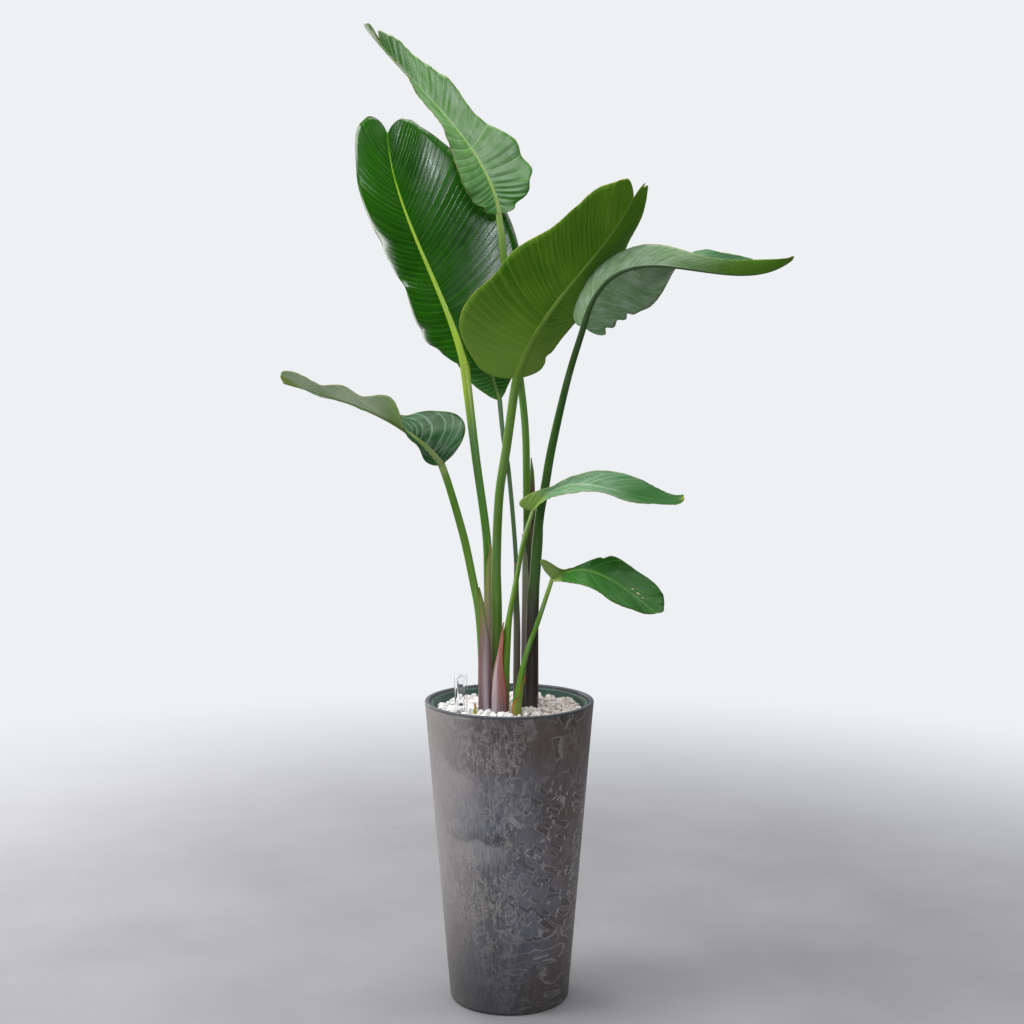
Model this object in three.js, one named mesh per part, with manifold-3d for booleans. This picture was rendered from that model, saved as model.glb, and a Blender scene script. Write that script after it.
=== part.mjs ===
// Potted bird of paradise: eight long-stalked leaves that rise in two fans from one clump,
// in a tall tapered planter with a liner, soil, a pumice mulch and a water gauge.
// Millimetres, +Z up, the origin at the middle of the planter's flat base.
import * as THREE from 'three';
import { mergeVertices } from 'three/addons/utils/BufferGeometryUtils.js';
import Module from 'manifold-3d';

// Driving dimensions of the planter, its liner and its filling
const PLANTER = {
  height: 610,
  rimRadius: 170,
  baseRadius: 120,
  wall: 9,
  floor: 16,
  footRound: 8,
  rimRound: 2.5,
  ledgeDrop: 9,
  ledgeWidth: 4,
  ledgeDepth: 12,
  ledgeSlope: 4,
  sides: 36,
};
const LINER = { depth: 300, wall: 3, lip: 3 };
const SOIL_DROP = 32;
const PUMICE = { thickness: 12, stones: 112, smallest: 7, largest: 10.5, seed: 11 };
const GAUGE = {
  x: -96, y: -45, top: 669, depth: 60, radius: 12.7, wall: 1.6, round: 4, rodRadius: 7.5, bevel: 2,
};
const MARK = { height: 4, width: 1.4, upper: 645, lower: 607 };
const CLEARANCE = 0.3;
const PART_GAP = 0.35;
const STEM_DEPTH = 60;

// Driving dimensions of the leaves
const LAMINA = 1.2;
const PLEAT = 0.7;
const KEEL = { base: 8, tip: 1.5 };
const SWEEP = [-20, 32, 62];
const ROUND = { base: 0.05, tip: 0.08, left: 0.12 };
const CROWD = 0.08;
const VEIN_BOW = 0.15;
const COLUMNS = [0, 0.05, 0.3, 0.55, 0.8, 1];
const STALK = { sides: 10, segments: 13, groove: 0.3, depth: 0.85 };
const SHEATH = { grow: 2, segments: 6, slantFrom: 0.5 };

const RIM_Z = PLANTER.height;
const SOIL_Z = RIM_Z - SOIL_DROP;
const PUMICE_Z = SOIL_Z + CLEARANCE + PUMICE.thickness;
const STEM_FOOT_Z = SOIL_Z - STEM_DEPTH;

const GREEN = '#3c6b26';
const LIGHT_GREEN = '#5f8f33';
const GREY_GREEN = '#6c8a66';
const SHEATH_BROWN = '#6a4a48';

// Each leaf: rib points from the stalk to the tip and the way its upper face looks, then for each
// half the vein lengths, the fold, the curl and the sweep of the veins in degrees, each list at
// even steps from base to tip, and the ruffle of its margin. Each stalk: points from the blade
// down to the soil with the width there.
const LEAVES = {
  top: {
    rows: 20,
    colour: GREY_GREEN,
    rib: [[-20, 20, 1580], [-77, 10, 1705], [-173, -20, 1813], [-271, -70, 1915]],
    face: [[0.64, -0.64, 0.42], [0.77, -0.37, 0.51], [0.8, -0.26, 0.53]],
    right: { veins: [28, 125, 76, 77, 72, 54, 26], fold: [10, 30, 35], curl: [0, 0, 0], ruffle: [4, 4, 0.2] },
    left: { veins: [30, 100, 94, 92, 80, 60, 36], fold: [0, 10, 28], curl: [0, 0, 0], ruffle: [4, 4, 0.6] },
    stalk: [[-20, 20, 1580, 15], [-11, 26, 1495, 15], [5, 33, 1370, 16], [25, 37, 1225, 16],
      [33, 38, 1134, 16], [35, 38, 1018, 16], [36, 37, 929, 17], [36, 37, 800, 18], [34, 36, 600, 18]],
    sheath: { top: 940, slant: 20, side: -1 },
  },
  left_large: {
    rows: 24,
    colour: GREEN,
    rib: [[-90, 60, 1280], [-145, 80, 1435], [-210, 95, 1590], [-245, 100, 1745]],
    face: [[0.1, -1, 0.1], [-0.1, -1, 0.15], [-0.2, -1, 0.2]],
    right: {
      veins: [80, 160, 200, 192, 158, 108, 45], fold: [10, 8, 5], curl: [0, -10, -15],
      sweep: [-5, 32, 62], ruffle: [5, 3, 0],
    },
    left: {
      veins: [20, 86, 93, 122, 137, 130, 60], fold: [-15, -20, -15], curl: [-50, -40, -30],
      sweep: [0, 32, 62], ruffle: [14, 3, 0.35],
    },
    stalk: [[-90, 60, 1280, 19], [-68, 48, 1098, 17], [-47, 40, 944, 17], [-42, 38, 851, 20],
      [-40, 37, 725, 22], [-39, 36, 600, 22]],
    sheath: { top: 905, slant: 25, side: 1 },
  },
  front: {
    rows: 24,
    colour: LIGHT_GREEN,
    rib: [[15, -20, 1255], [78, -60, 1380], [163, -90, 1487], [235, -120, 1595]],
    face: [[-0.3, 1, 0], [-0.3, 0.9, 0.2], [-0.3, 0.8, 0.3]],
    right: { veins: [60, 145, 137, 122, 120, 92, 45], fold: [8, 5, 5], curl: [0, 0, 0], ruffle: [5, 3, 0.1] },
    left: {
      veins: [58, 78, 112, 125, 105, 86, 56], fold: [20, 30, 30], curl: [20, 20, 20], sweep: [0, 32, 70],
      ruffle: [5, 3, 0.5],
    },
    stalk: [[15, -20, 1255, 18], [9, -18, 1222, 18], [-5, -10, 1121, 18], [-20, -3, 1021, 18],
      [-26, 5, 888, 19], [-25, 9, 786, 21], [-25, 10, 600, 22]],
    sheath: { top: 890, slant: 20, side: 1 },
  },
  arching: {
    rows: 20,
    colour: GREY_GREEN,
    rib: [[143, -85, 1354], [243, -105, 1465], [396, -100, 1454], [541, -90, 1480]],
    face: [[-0.4, 1, 0.1], [0, 0.5, 0.85], [0, -0.1, 1]],
    right: { veins: [35, 40, 47, 39, 42, 50, 25], fold: [55, 60, 40], curl: [20, 10, 20], ruffle: [3, 3, 0] },
    left: {
      veins: [60, 96, 117, 92, 84, 62, 20], fold: [5, 5, 12, 68, 52, 25, 15], curl: [0, 10, 10],
      sweep: [-30, 10, 40, 48, 60], ruffle: [4, 3, 0.2],
    },
    stalk: [[143, -85, 1354, 13], [113, -64, 1251, 14], [84, -40, 1122, 17], [70, -26, 1038, 18],
      [59, -13, 972, 19], [50, 3, 856, 20], [46, 8, 756, 22], [44, 10, 600, 22]],
    sheath: { top: 975, slant: 25, side: 1 },
  },
  back: {
    rows: 20,
    colour: GREEN,
    rib: [[-20, 105, 1210], [-45, 150, 1320], [-55, 185, 1435], [-60, 205, 1540]],
    face: [[0, -1, 0], [0, -1, 0.1], [0, -1, 0.2]],
    right: { veins: [10, 50, 90, 105, 105, 80, 25], fold: [15, 15], curl: [0, 0], ruffle: [5, 3, 0.3] },
    left: { veins: [10, 55, 85, 105, 105, 80, 25], fold: [15, 15], curl: [0, 0], ruffle: [5, 3, 0] },
    stalk: [[-20, 105, 1210, 10], [-12, 92, 1129, 9], [-1, 80, 1061, 9], [13, 62, 894, 9],
      [15, 54, 774, 9], [15, 50, 600, 11]],
    sheath: { top: 880, slant: 12, side: -1 },
  },
  left_low: {
    rows: 20,
    colour: GREY_GREEN,
    rib: [[-135, -5, 1085], [-230, -15, 1166], [-340, -25, 1214], [-440, -30, 1244]],
    face: [[-0.3, -0.9, 0.4], [0, 0.15, 1], [0.1, 0, 1]],
    right: {
      veins: [15, 103, 50, 50, 45, 42, 20], fold: [5, 5, 0], curl: [10, 0, 0], sweep: [-35, 20, 60],
      ruffle: [3, 4, 0],
    },
    left: {
      veins: [12, 22, 14, 36, 58, 50, 40, 46, 46, 54, 66, 40, 22], fold: [0, 15, 50, 38, 30, 32, 40],
      curl: [10, 0, 10], ruffle: [3, 4, 0.3],
    },
    stalk: [[-135, -5, 1085, 15], [-118, -4, 1035, 15], [-90, -2, 935, 16], [-71, -3, 844, 16],
      [-60, -4, 787, 18], [-52, -6, 710, 23], [-50, -6, 600, 22]],
    sheath: { top: 815, slant: 30, side: 1 },
  },
  right_mid: {
    rows: 16,
    colour: GREY_GREEN,
    rib: [[45, -90, 1000], [133, -100, 1050], [233, -105, 1031], [336, -105, 1024]],
    face: [[-0.1, -0.3, 0.8], [0.1, -0.25, 1], [0.2, -0.2, 1]],
    right: { veins: [12, 48, 49, 43, 44, 40, 10], fold: [10, 5, 5], curl: [10, -10, 0], ruffle: [3, 3, 0] },
    left: {
      veins: [40, 26, 12, 14, 22, 47, 70, 74, 66, 60, 50, 32, 10], fold: [80, 20, 15], curl: [0, 0, 0],
      sweep: [-30, 25, 60], ruffle: [3, 3, 0.3],
    },
    stalk: [[45, -90, 1000, 10], [26, -75, 929, 11], [17, -62, 878, 11], [1, -44, 789, 13],
      [-7, -36, 725, 21], [-14, -32, 664, 31], [-16, -30, 600, 33]],
    sheath: { top: 752, slant: 35, side: -1 },
  },
  right_low: {
    rows: 16,
    colour: GREEN,
    rib: [[83, -100, 867], [156, -110, 884], [225, -115, 848], [284, -115, 803]],
    face: [[-0.1, -0.6, 0.8], [0.3, -0.6, 0.8], [0.4, -0.6, 0.7]],
    right: {
      veins: [12, 40, 56, 60, 50, 26, 6], fold: [10, 5, 5], curl: [10, -10, -10], ruffle: [3, 3, 0.3],
    },
    left: {
      veins: [78, 12, 5, 14, 30, 49, 60, 70, 76, 69, 52, 34, 18], fold: [85, 10, 10], curl: [0, 0, 0],
      sweep: [2, 22, 60], ruffle: [3, 3, 0],
    },
    stalk: [[83, -100, 867, 9], [54, -80, 774, 10], [38, -68, 729, 10], [25, -60, 677, 12],
      [17, -56, 629, 16], [14, -54, 600, 17]],
    sheath: { top: 660, slant: 15, side: -1 },
  },
};

// The rolled tip of the next leaf in the right fan, and a small bud tip at the left
const SPEAR = [[44, 48, 1094, 2], [46, 52, 1060, 8], [47, 56, 1000, 11], [50, 60, 900, 12],
  [52, 62, 780, 13], [52, 62, 600, 14]];
const SHOOT = [[-68, -50, 614, 2], [-68, -50, 606, 6], [-68, -50, 595, 9], [-68, -50, 570, 10]];
const STALK_FACE = [0, -1, 0.2];

// Front stalks keep their form; each stalk behind is hollowed where it hugs those before it
const FRONT_TO_BACK = [
  'right_low', 'right_mid', 'left_low', 'front', 'left_large', 'arching', 'top', 'back',
];

const wasm = await Module();
wasm.setup();

// Solids

function closed(geometry) {
  const bare = geometry.clone();
  bare.deleteAttribute('normal');
  bare.deleteAttribute('uv');
  const merged = mergeVertices(bare, 1e-4);
  const index = merged.getIndex().array;
  const kept = [];
  for (let i = 0; i < index.length; i += 3) {
    const [a, b, c] = [index[i], index[i + 1], index[i + 2]];
    if (a !== b && b !== c && c !== a) {
      kept.push(a, b, c);
    }
  }
  merged.setIndex(kept);
  return merged;
}

function solid(geometry) {
  const merged = closed(geometry);
  const mesh = new wasm.Mesh({
    numProp: 3,
    vertProperties: new Float32Array(merged.getAttribute('position').array),
    triVerts: new Uint32Array(merged.getIndex().array),
  });
  return new wasm.Manifold(mesh);
}

function largestBody(manifold) {
  const bodies = manifold.decompose();
  return bodies.reduce((best, body) => (body.volume() > best.volume() ? body : best));
}

function geometryOf(manifold) {
  const mesh = manifold.getMesh();
  const geometry = new THREE.BufferGeometry();
  geometry.setAttribute('position', new THREE.BufferAttribute(new Float32Array(mesh.vertProperties), 3));
  geometry.setIndex([...mesh.triVerts]);
  geometry.computeVertexNormals();
  return geometry;
}

function lathe(profile, sides) {
  const points = profile.map(([radius, z]) => new THREE.Vector2(radius, z));
  return new THREE.LatheGeometry(points, sides).rotateX(Math.PI / 2);
}

function node(name, geometry, color, roughness, extra = {}) {
  const material = new THREE.MeshStandardMaterial({ color, roughness, metalness: 0, ...extra });
  const mesh = new THREE.Mesh(geometry, material);
  mesh.name = name;
  return mesh;
}

function randomFrom(seed) {
  let state = seed;
  return () => {
    state = (state * 1664525 + 1013904223) % 4294967296;
    return state / 4294967296;
  };
}

// Planter, liner and filling

function outerRadius(z) {
  return THREE.MathUtils.lerp(PLANTER.baseRadius, PLANTER.rimRadius, z / PLANTER.height);
}

function innerRadius(z) {
  return outerRadius(z) - PLANTER.wall;
}

const LEDGE_Z = RIM_Z - PLANTER.ledgeDrop;
const LINER_FLOOR_Z = RIM_Z - LINER.depth;

function linerOuter(z) {
  return innerRadius(z) - PLANTER.ledgeWidth - 1;
}

function linerInner(z) {
  return linerOuter(z) - LINER.wall;
}

function arc(centreRadius, centreZ, round, from, to, steps) {
  const points = [];
  for (let i = 0; i <= steps; i += 1) {
    const angle = THREE.MathUtils.degToRad(from + ((to - from) * i) / steps);
    points.push([centreRadius + round * Math.cos(angle), centreZ + round * Math.sin(angle)]);
  }
  return points;
}

function planter() {
  const { footRound, rimRound, rimRadius, wall, floor, ledgeWidth, ledgeSlope } = PLANTER;
  const ledgeFoot = LEDGE_Z - PLANTER.ledgeDepth;
  const profile = [
    [0, 0],
    ...arc(outerRadius(footRound) - footRound, footRound, footRound, -90, 0, 3),
    ...arc(rimRadius - rimRound, RIM_Z - rimRound, rimRound, 0, 90, 2),
    ...arc(rimRadius - wall + rimRound, RIM_Z - rimRound, rimRound, 90, 180, 2),
    [innerRadius(LEDGE_Z), LEDGE_Z],
    [innerRadius(LEDGE_Z) - ledgeWidth, LEDGE_Z],
    [innerRadius(ledgeFoot) - ledgeWidth, ledgeFoot],
    [innerRadius(ledgeFoot - ledgeSlope), ledgeFoot - ledgeSlope],
    [innerRadius(floor), floor],
    [0, floor],
  ];
  return lathe(profile, PLANTER.sides);
}

function liner() {
  const lipZ = LEDGE_Z + CLEARANCE;
  const lipRadius = innerRadius(LEDGE_Z) - CLEARANCE;
  const profile = [
    [0, LINER_FLOOR_Z],
    [linerOuter(LINER_FLOOR_Z), LINER_FLOOR_Z],
    [linerOuter(lipZ), lipZ],
    [lipRadius, lipZ],
    [lipRadius, lipZ + LINER.lip],
    [linerInner(lipZ), lipZ + LINER.lip],
    [linerInner(LINER_FLOOR_Z + LINER.wall), LINER_FLOOR_Z + LINER.wall],
    [0, LINER_FLOOR_Z + LINER.wall],
  ];
  return lathe(profile, PLANTER.sides);
}

function fill(fromZ, toZ) {
  const profile = [
    [0, fromZ],
    [linerInner(fromZ) - CLEARANCE, fromZ],
    [linerInner(toZ) - CLEARANCE, toZ],
    [0, toZ],
  ];
  return solid(lathe(profile, PLANTER.sides));
}

function pumiceBed() {
  const random = randomFrom(PUMICE.seed);
  const stones = [];
  const reach = linerInner(PUMICE_Z) - PUMICE.largest - 2;
  for (let i = 0; i < PUMICE.stones; i += 1) {
    const radius = reach * Math.sqrt((i + 0.5) / PUMICE.stones);
    const angle = i * Math.PI * (3 - Math.sqrt(5)) + random() * 0.2;
    const size = THREE.MathUtils.lerp(PUMICE.smallest, PUMICE.largest, random());
    const stone = new THREE.OctahedronGeometry(1, 0);
    stone.scale(size, size * (0.7 + 0.3 * random()), size * (0.6 + 0.3 * random()));
    stone.rotateZ(random() * Math.PI).rotateX((random() - 0.5) * 0.8);
    stone.translate(radius * Math.cos(angle), radius * Math.sin(angle), PUMICE_Z + size * 0.15);
    stones.push(solid(stone));
  }
  return wasm.Manifold.union([fill(SOIL_Z + CLEARANCE, PUMICE_Z), ...stones]);
}

// Leaves

function toRadians(degrees) {
  return THREE.MathUtils.degToRad(degrees);
}

function throughMany(values, s) {
  const points = values.map((value, i) => new THREE.Vector2(i, value));
  return new THREE.SplineCurve(points).getPoint(s).y;
}

function ribCurve(rib) {
  const [p0, p1, p2, p3] = rib.map((point) => new THREE.Vector3(...point));
  const leave = p0.clone().multiplyScalar(-5).addScaledVector(p1, 18).addScaledVector(p2, -9)
    .addScaledVector(p3, 2).divideScalar(6);
  const arrive = p0.clone().multiplyScalar(2).addScaledVector(p1, -9).addScaledVector(p2, 18)
    .addScaledVector(p3, -5).divideScalar(6);
  return new THREE.CubicBezierCurve3(p0, leave, arrive, p3);
}

function frameAt(curve, face, s) {
  const along = curve.getTangent(s);
  const up = face.clone().addScaledVector(along, -face.dot(along)).normalize();
  return { point: curve.getPoint(s), along, up, across: along.clone().cross(up) };
}

function faceAt(leaf, s) {
  return new THREE.Vector3(...[0, 1, 2].map((axis) => throughMany(leaf.face.map((f) => f[axis]), s)));
}

// Share of its full length that a vein has near the rounded base and tip of a blade
function rounding(s) {
  const base = 1 - Math.min(1, s / ROUND.base);
  const tip = 1 - Math.min(1, (1 - s) / ROUND.tip);
  return Math.max(ROUND.left, Math.sqrt(1 - base * base) * Math.sqrt(1 - tip * tip));
}

// A point of one half of a blade: s runs along the rib, v from the rib out along a vein
function veinPoint(leaf, frame, side, s, v) {
  const half = side > 0 ? leaf.right : leaf.left;
  const length = throughMany(half.veins, s) * rounding(s);
  const sweep = toRadians(throughMany(half.sweep ?? SWEEP, s));
  const fold = toRadians(throughMany(half.fold, s));
  const curl = toRadians(throughMany(half.curl, s)) || 1e-3;
  const [height, count, phase] = half.ruffle;
  const out = (length * Math.cos(sweep) * (Math.sin(fold + curl * v) - Math.sin(fold))) / curl;
  const rise = (length * Math.cos(sweep) * (Math.cos(fold) - Math.cos(fold + curl * v))) / curl;
  const forward = length * (v * Math.sin(sweep) + VEIN_BOW * (v * v - v));
  const swing = Math.sin(2 * Math.PI * (count * s + phase)) * Math.sqrt(Math.sin(Math.PI * s));
  const wave = height * swing * v * v;
  return frame.point.clone()
    .addScaledVector(frame.across, side * out)
    .addScaledVector(frame.up, rise + wave)
    .addScaledVector(frame.along, forward);
}

// The middle surface of a blade as a grid, with a column along the rib
function bladeGrid(leaf) {
  const columns = 2 * (COLUMNS.length - 1);
  const grid = new THREE.PlaneGeometry(1, 1, columns, leaf.rows);
  const curve = ribCurve(leaf.rib);
  const position = grid.getAttribute('position');
  for (let row = 0; row <= leaf.rows; row += 1) {
    const even = row / leaf.rows;
    const s = even - CROWD * Math.sin(2 * Math.PI * even);
    const frame = frameAt(curve, faceAt(leaf, s), s);
    for (let column = 0; column <= columns; column += 1) {
      const step = column - columns / 2;
      const point = veinPoint(leaf, frame, Math.sign(step), s, COLUMNS[Math.abs(step)]);
      position.setXYZ(row * (columns + 1) + column, point.x, point.y, point.z);
    }
  }
  grid.computeVertexNormals();
  return { grid, columns };
}

// A blade: both faces split into the same triangles, the rib as a keel under the middle column
function blade(leaf) {
  const { grid, columns } = bladeGrid(leaf);
  const width = columns + 1;
  const position = grid.getAttribute('position');
  const normal = grid.getAttribute('normal');
  const count = position.count;
  const layers = new Float32Array(count * 6);
  for (let i = 0; i < count; i += 1) {
    const row = Math.floor(i / width);
    const step = (i % width) - columns / 2;
    const inside = step !== 0 && Math.abs(step) < columns / 2 && row > 0 && row < leaf.rows;
    const pleat = inside ? PLEAT * (row % 2 === 0 ? 1 : -1) : 0;
    const keel = step === 0 ? THREE.MathUtils.lerp(KEEL.base, KEEL.tip, row / leaf.rows) * leaf.keel : 0;
    const middle = new THREE.Vector3().fromBufferAttribute(position, i);
    const up = new THREE.Vector3().fromBufferAttribute(normal, i).negate();
    middle.clone().addScaledVector(up, pleat + LAMINA / 2).toArray(layers, i * 3);
    middle.clone().addScaledVector(up, pleat - LAMINA / 2 - keel).toArray(layers, (count + i) * 3);
  }
  const index = [];
  const flat = grid.getIndex().array;
  for (let i = 0; i < flat.length; i += 3) {
    index.push(flat[i], flat[i + 2], flat[i + 1]);
    index.push(count + flat[i], count + flat[i + 1], count + flat[i + 2]);
  }
  const edge = marginLoop(columns, leaf.rows);
  edge.forEach((here, i) => {
    const next = edge[(i + 1) % edge.length];
    index.push(count + here, count + next, next);
    index.push(count + here, next, here);
  });
  const sheet = new THREE.BufferGeometry();
  sheet.setAttribute('position', new THREE.BufferAttribute(layers, 3));
  sheet.setIndex(index);
  return sheet;
}

function marginLoop(columns, rows) {
  const at = (column, row) => row * (columns + 1) + column;
  const loop = [];
  for (let column = 0; column < columns; column += 1) {
    loop.push(at(column, 0));
  }
  for (let row = 0; row < rows; row += 1) {
    loop.push(at(columns, row));
  }
  for (let column = columns; column > 0; column -= 1) {
    loop.push(at(column, rows));
  }
  for (let row = rows; row > 0; row -= 1) {
    loop.push(at(0, row));
  }
  return loop;
}

// Stalks

// A grooved, tapering rod along stations of [x, y, z, width], larger all round by grow.
// Its upper end leans by slant towards one side over the last stretch.
function rod(stations, face, shape) {
  const { grow = 0, segments = STALK.segments, slant = 0, side = 1, groove = STALK.groove } = shape;
  const centres = new THREE.CatmullRomCurve3(
    stations.map(([x, y, z]) => new THREE.Vector3(x, y, z)), false, 'catmullrom', 0.5);
  const widths = stations.map((station) => station[3]);
  const geometry = closed(new THREE.CylinderGeometry(1, 1, 1, STALK.sides, segments));
  const position = geometry.getAttribute('position');
  const direction = new THREE.Vector3(...face);
  for (let i = 0; i < position.count; i += 1) {
    const t = position.getY(i) + 0.5;
    const frame = frameAt(centres, direction, t);
    const half = throughMany(widths, t) / 2 + grow;
    const over = position.getX(i);
    const up = position.getZ(i);
    const hollow = up > 0 ? groove * up * (1 - Math.abs(over)) : 0;
    const lean = Math.max(0, (t - SHEATH.slantFrom) / (1 - SHEATH.slantFrom));
    const stretch = (t - 0.5) * 2 * grow + slant * lean * lean * over * side;
    const point = frame.point
      .addScaledVector(frame.across, over * half)
      .addScaledVector(frame.up, (up - hollow) * half * STALK.depth)
      .addScaledVector(frame.along, stretch);
    position.setXYZ(i, point.x, point.y, point.z);
  }
  return solid(geometry);
}

function rooted(stations) {
  const foot = stations[stations.length - 1];
  return [...stations, [foot[0], foot[1], STEM_FOOT_Z, foot[3]]].reverse();
}

// The stations of a stalk up to a height, for its sheath
function below(stations, top) {
  const lower = stations.filter((station) => station[2] < top);
  const upper = stations[lower.length];
  const under = lower[lower.length - 1];
  const share = (top - under[2]) / (upper[2] - under[2]);
  const end = under.map((value, i) => THREE.MathUtils.lerp(value, upper[i], share));
  return [...lower, end];
}

function stalk(leaf, grow) {
  const stations = rooted(leaf.stalk);
  const { top, slant, side } = leaf.sheath;
  const stem = rod(stations, leaf.face[0], { grow });
  const sheath = rod(below(stations, top), leaf.face[0], {
    grow: grow + SHEATH.grow, segments: SHEATH.segments, slant, side, groove: 0,
  });
  return stem.add(sheath);
}

function plainRod(stations, grow) {
  return rod(rooted(stations), STALK_FACE, { grow, groove: 0 });
}

// Assembly

function gaugeTube(grow) {
  const { radius, wall, top, depth, round, bevel } = GAUGE;
  const foot = SOIL_Z - depth;
  const outer = radius + grow;
  const profile = grow > 0
    ? [[0, foot - grow], [outer, foot - grow], [outer, top], [0, top]]
    : [[radius - wall, foot], [radius, foot], ...arc(radius - round, top - round, round, 0, 90, 3),
      [0, top], [0, top - wall], [radius - wall, top - wall - bevel], [radius - wall, foot]];
  return lathe(profile, 24).translate(GAUGE.x, GAUGE.y, 0);
}

function gaugeRod() {
  const { rodRadius, depth, top, wall, round, bevel } = GAUGE;
  const foot = SOIL_Z - depth;
  const cap = top - wall - bevel - CLEARANCE;
  const profile = [[0, foot], [rodRadius, foot], [rodRadius, cap - round], [rodRadius - bevel, cap], [0, cap]];
  return lathe(profile, 20).translate(GAUGE.x, GAUGE.y, 0);
}

function gaugeMark(z) {
  const inner = GAUGE.rodRadius + CLEARANCE;
  const outer = inner + MARK.width;
  const profile = [[inner, z], [outer, z], [outer, z + MARK.height], [inner, z + MARK.height], [inner, z]];
  return lathe(profile, 16).translate(GAUGE.x, GAUGE.y, 0);
}

const stalks = {};
const stalkRooms = [];
FRONT_TO_BACK.forEach((name) => {
  const leaf = LEAVES[name];
  leaf.keel = leaf.stalk[0][3] / 18;
  const cut = stalkRooms.reduce((body, room) => body.subtract(room), stalk(leaf, 0));
  stalks[name] = largestBody(cut);
  stalkRooms.push(stalk(leaf, PART_GAP));
});
const spear = largestBody(stalkRooms.reduce((body, room) => body.subtract(room), plainRod(SPEAR, 0)));
const shoot = plainRod(SHOOT, 0);
const standing = wasm.Manifold.union([
  ...stalkRooms,
  plainRod(SPEAR, PART_GAP),
  plainRod(SHOOT, PART_GAP),
  solid(gaugeTube(PART_GAP)),
]);

const plant = new THREE.Group();
plant.add(node('planter', closed(planter()), '#6e6f72', 0.6));
plant.add(node('liner', closed(liner()), '#24362d', 0.5));
plant.add(node('soil', geometryOf(largestBody(
  fill(LINER_FLOOR_Z + LINER.wall + CLEARANCE, SOIL_Z).subtract(standing))), '#2b211a', 1));
plant.add(node('pumice', geometryOf(largestBody(pumiceBed().subtract(standing))), '#d8cdbd', 0.9));
plant.add(node('gauge_tube', closed(gaugeTube(0)), '#eef3f3', 0.1, { transparent: true, opacity: 0.35 }));
plant.add(node('gauge_rod', closed(gaugeRod()), '#dfe6e6', 0.2, { transparent: true, opacity: 0.6 }));
plant.add(node('gauge_mark_upper', closed(gaugeMark(MARK.upper)), '#1b1b1b', 0.5));
plant.add(node('gauge_mark_lower', closed(gaugeMark(MARK.lower)), '#1b1b1b', 0.5));
Object.entries(LEAVES).forEach(([name, leaf]) => {
  const room = rod(rooted(leaf.stalk), leaf.face[0], { grow: PART_GAP, groove: 0 });
  const sheet = largestBody(solid(blade(leaf)).subtract(room));
  plant.add(node(`blade_${name}`, geometryOf(sheet), leaf.colour, 0.45));
  plant.add(node(`petiole_${name}`, geometryOf(stalks[name]), LIGHT_GREEN, 0.45));
});
plant.add(node('spear', geometryOf(spear), GREEN, 0.45));
plant.add(node('shoot', geometryOf(shoot), SHEATH_BROWN, 0.5));

export default plant;
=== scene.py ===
"""Looks of a potted bird of paradise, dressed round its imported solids.

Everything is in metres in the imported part's frame: +Z up, the origin at the middle of the
planter's flat base, and -Y towards the viewer. Leaf and stalk tables are in millimetres, and
so is FOOT_DEPTH, how deep the stems stand in the soil.
"""

import logging
import math
import random
from collections.abc import Callable
from dataclasses import dataclass
from enum import Enum

import bmesh
import bpy
from mathutils import Matrix, Vector, noise


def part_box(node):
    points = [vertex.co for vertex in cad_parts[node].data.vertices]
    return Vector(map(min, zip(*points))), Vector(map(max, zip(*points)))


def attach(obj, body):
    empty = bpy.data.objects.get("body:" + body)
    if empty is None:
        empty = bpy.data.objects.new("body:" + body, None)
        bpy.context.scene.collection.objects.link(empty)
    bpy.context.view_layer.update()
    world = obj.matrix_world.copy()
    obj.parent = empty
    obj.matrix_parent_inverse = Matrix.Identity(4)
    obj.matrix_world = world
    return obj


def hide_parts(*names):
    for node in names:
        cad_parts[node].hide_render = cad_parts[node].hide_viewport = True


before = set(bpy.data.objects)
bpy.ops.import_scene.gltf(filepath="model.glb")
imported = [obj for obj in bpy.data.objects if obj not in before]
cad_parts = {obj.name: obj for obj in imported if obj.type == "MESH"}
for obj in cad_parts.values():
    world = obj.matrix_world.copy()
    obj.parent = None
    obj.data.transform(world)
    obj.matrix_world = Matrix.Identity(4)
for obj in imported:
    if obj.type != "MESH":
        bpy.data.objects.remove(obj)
LOG = logging.getLogger("plant")
ROOT = "root"
MM = 0.001
WELD = 1e-6
FOOT_DEPTH = 60.0
Numbers = tuple[float, ...]
Socket = bpy.types.NodeSocket
Value = float | Socket
Axes = tuple[Vector, Vector, Vector, Vector]

RIM_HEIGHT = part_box("planter")[1].z
SOIL_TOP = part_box("soil")[1].z
MULCH_DEPTH = 0.0123
PUMICE_TOP = SOIL_TOP + MULCH_DEPTH


# Colours, curves and meshes

def tint(code: str) -> Numbers:
    """Linear colour of a hex code.

    Args:
        code: a code such as "#6b8f3a".

    Returns:
        Red, green, blue and an alpha of 1.
    """
    parts = [int(code[i:i + 2], 16) / 255 for i in (1, 3, 5)]
    linear = [p / 12.92 if p <= 0.04045 else ((p + 0.055) / 1.055) ** 2.4 for p in parts]
    return (*linear, 1.0)


def lerp(a: float, b: float, share: float) -> float:
    """Value between a and b at a share from 0 to 1."""
    return a + (b - a) * share


def smooth(low: float, high: float, value: float) -> float:
    """Soft step of a value from 0 at low to 1 at high."""
    share = min(1.0, max(0.0, (value - low) / (high - low)))
    return share * share * (3 - 2 * share)


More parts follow.
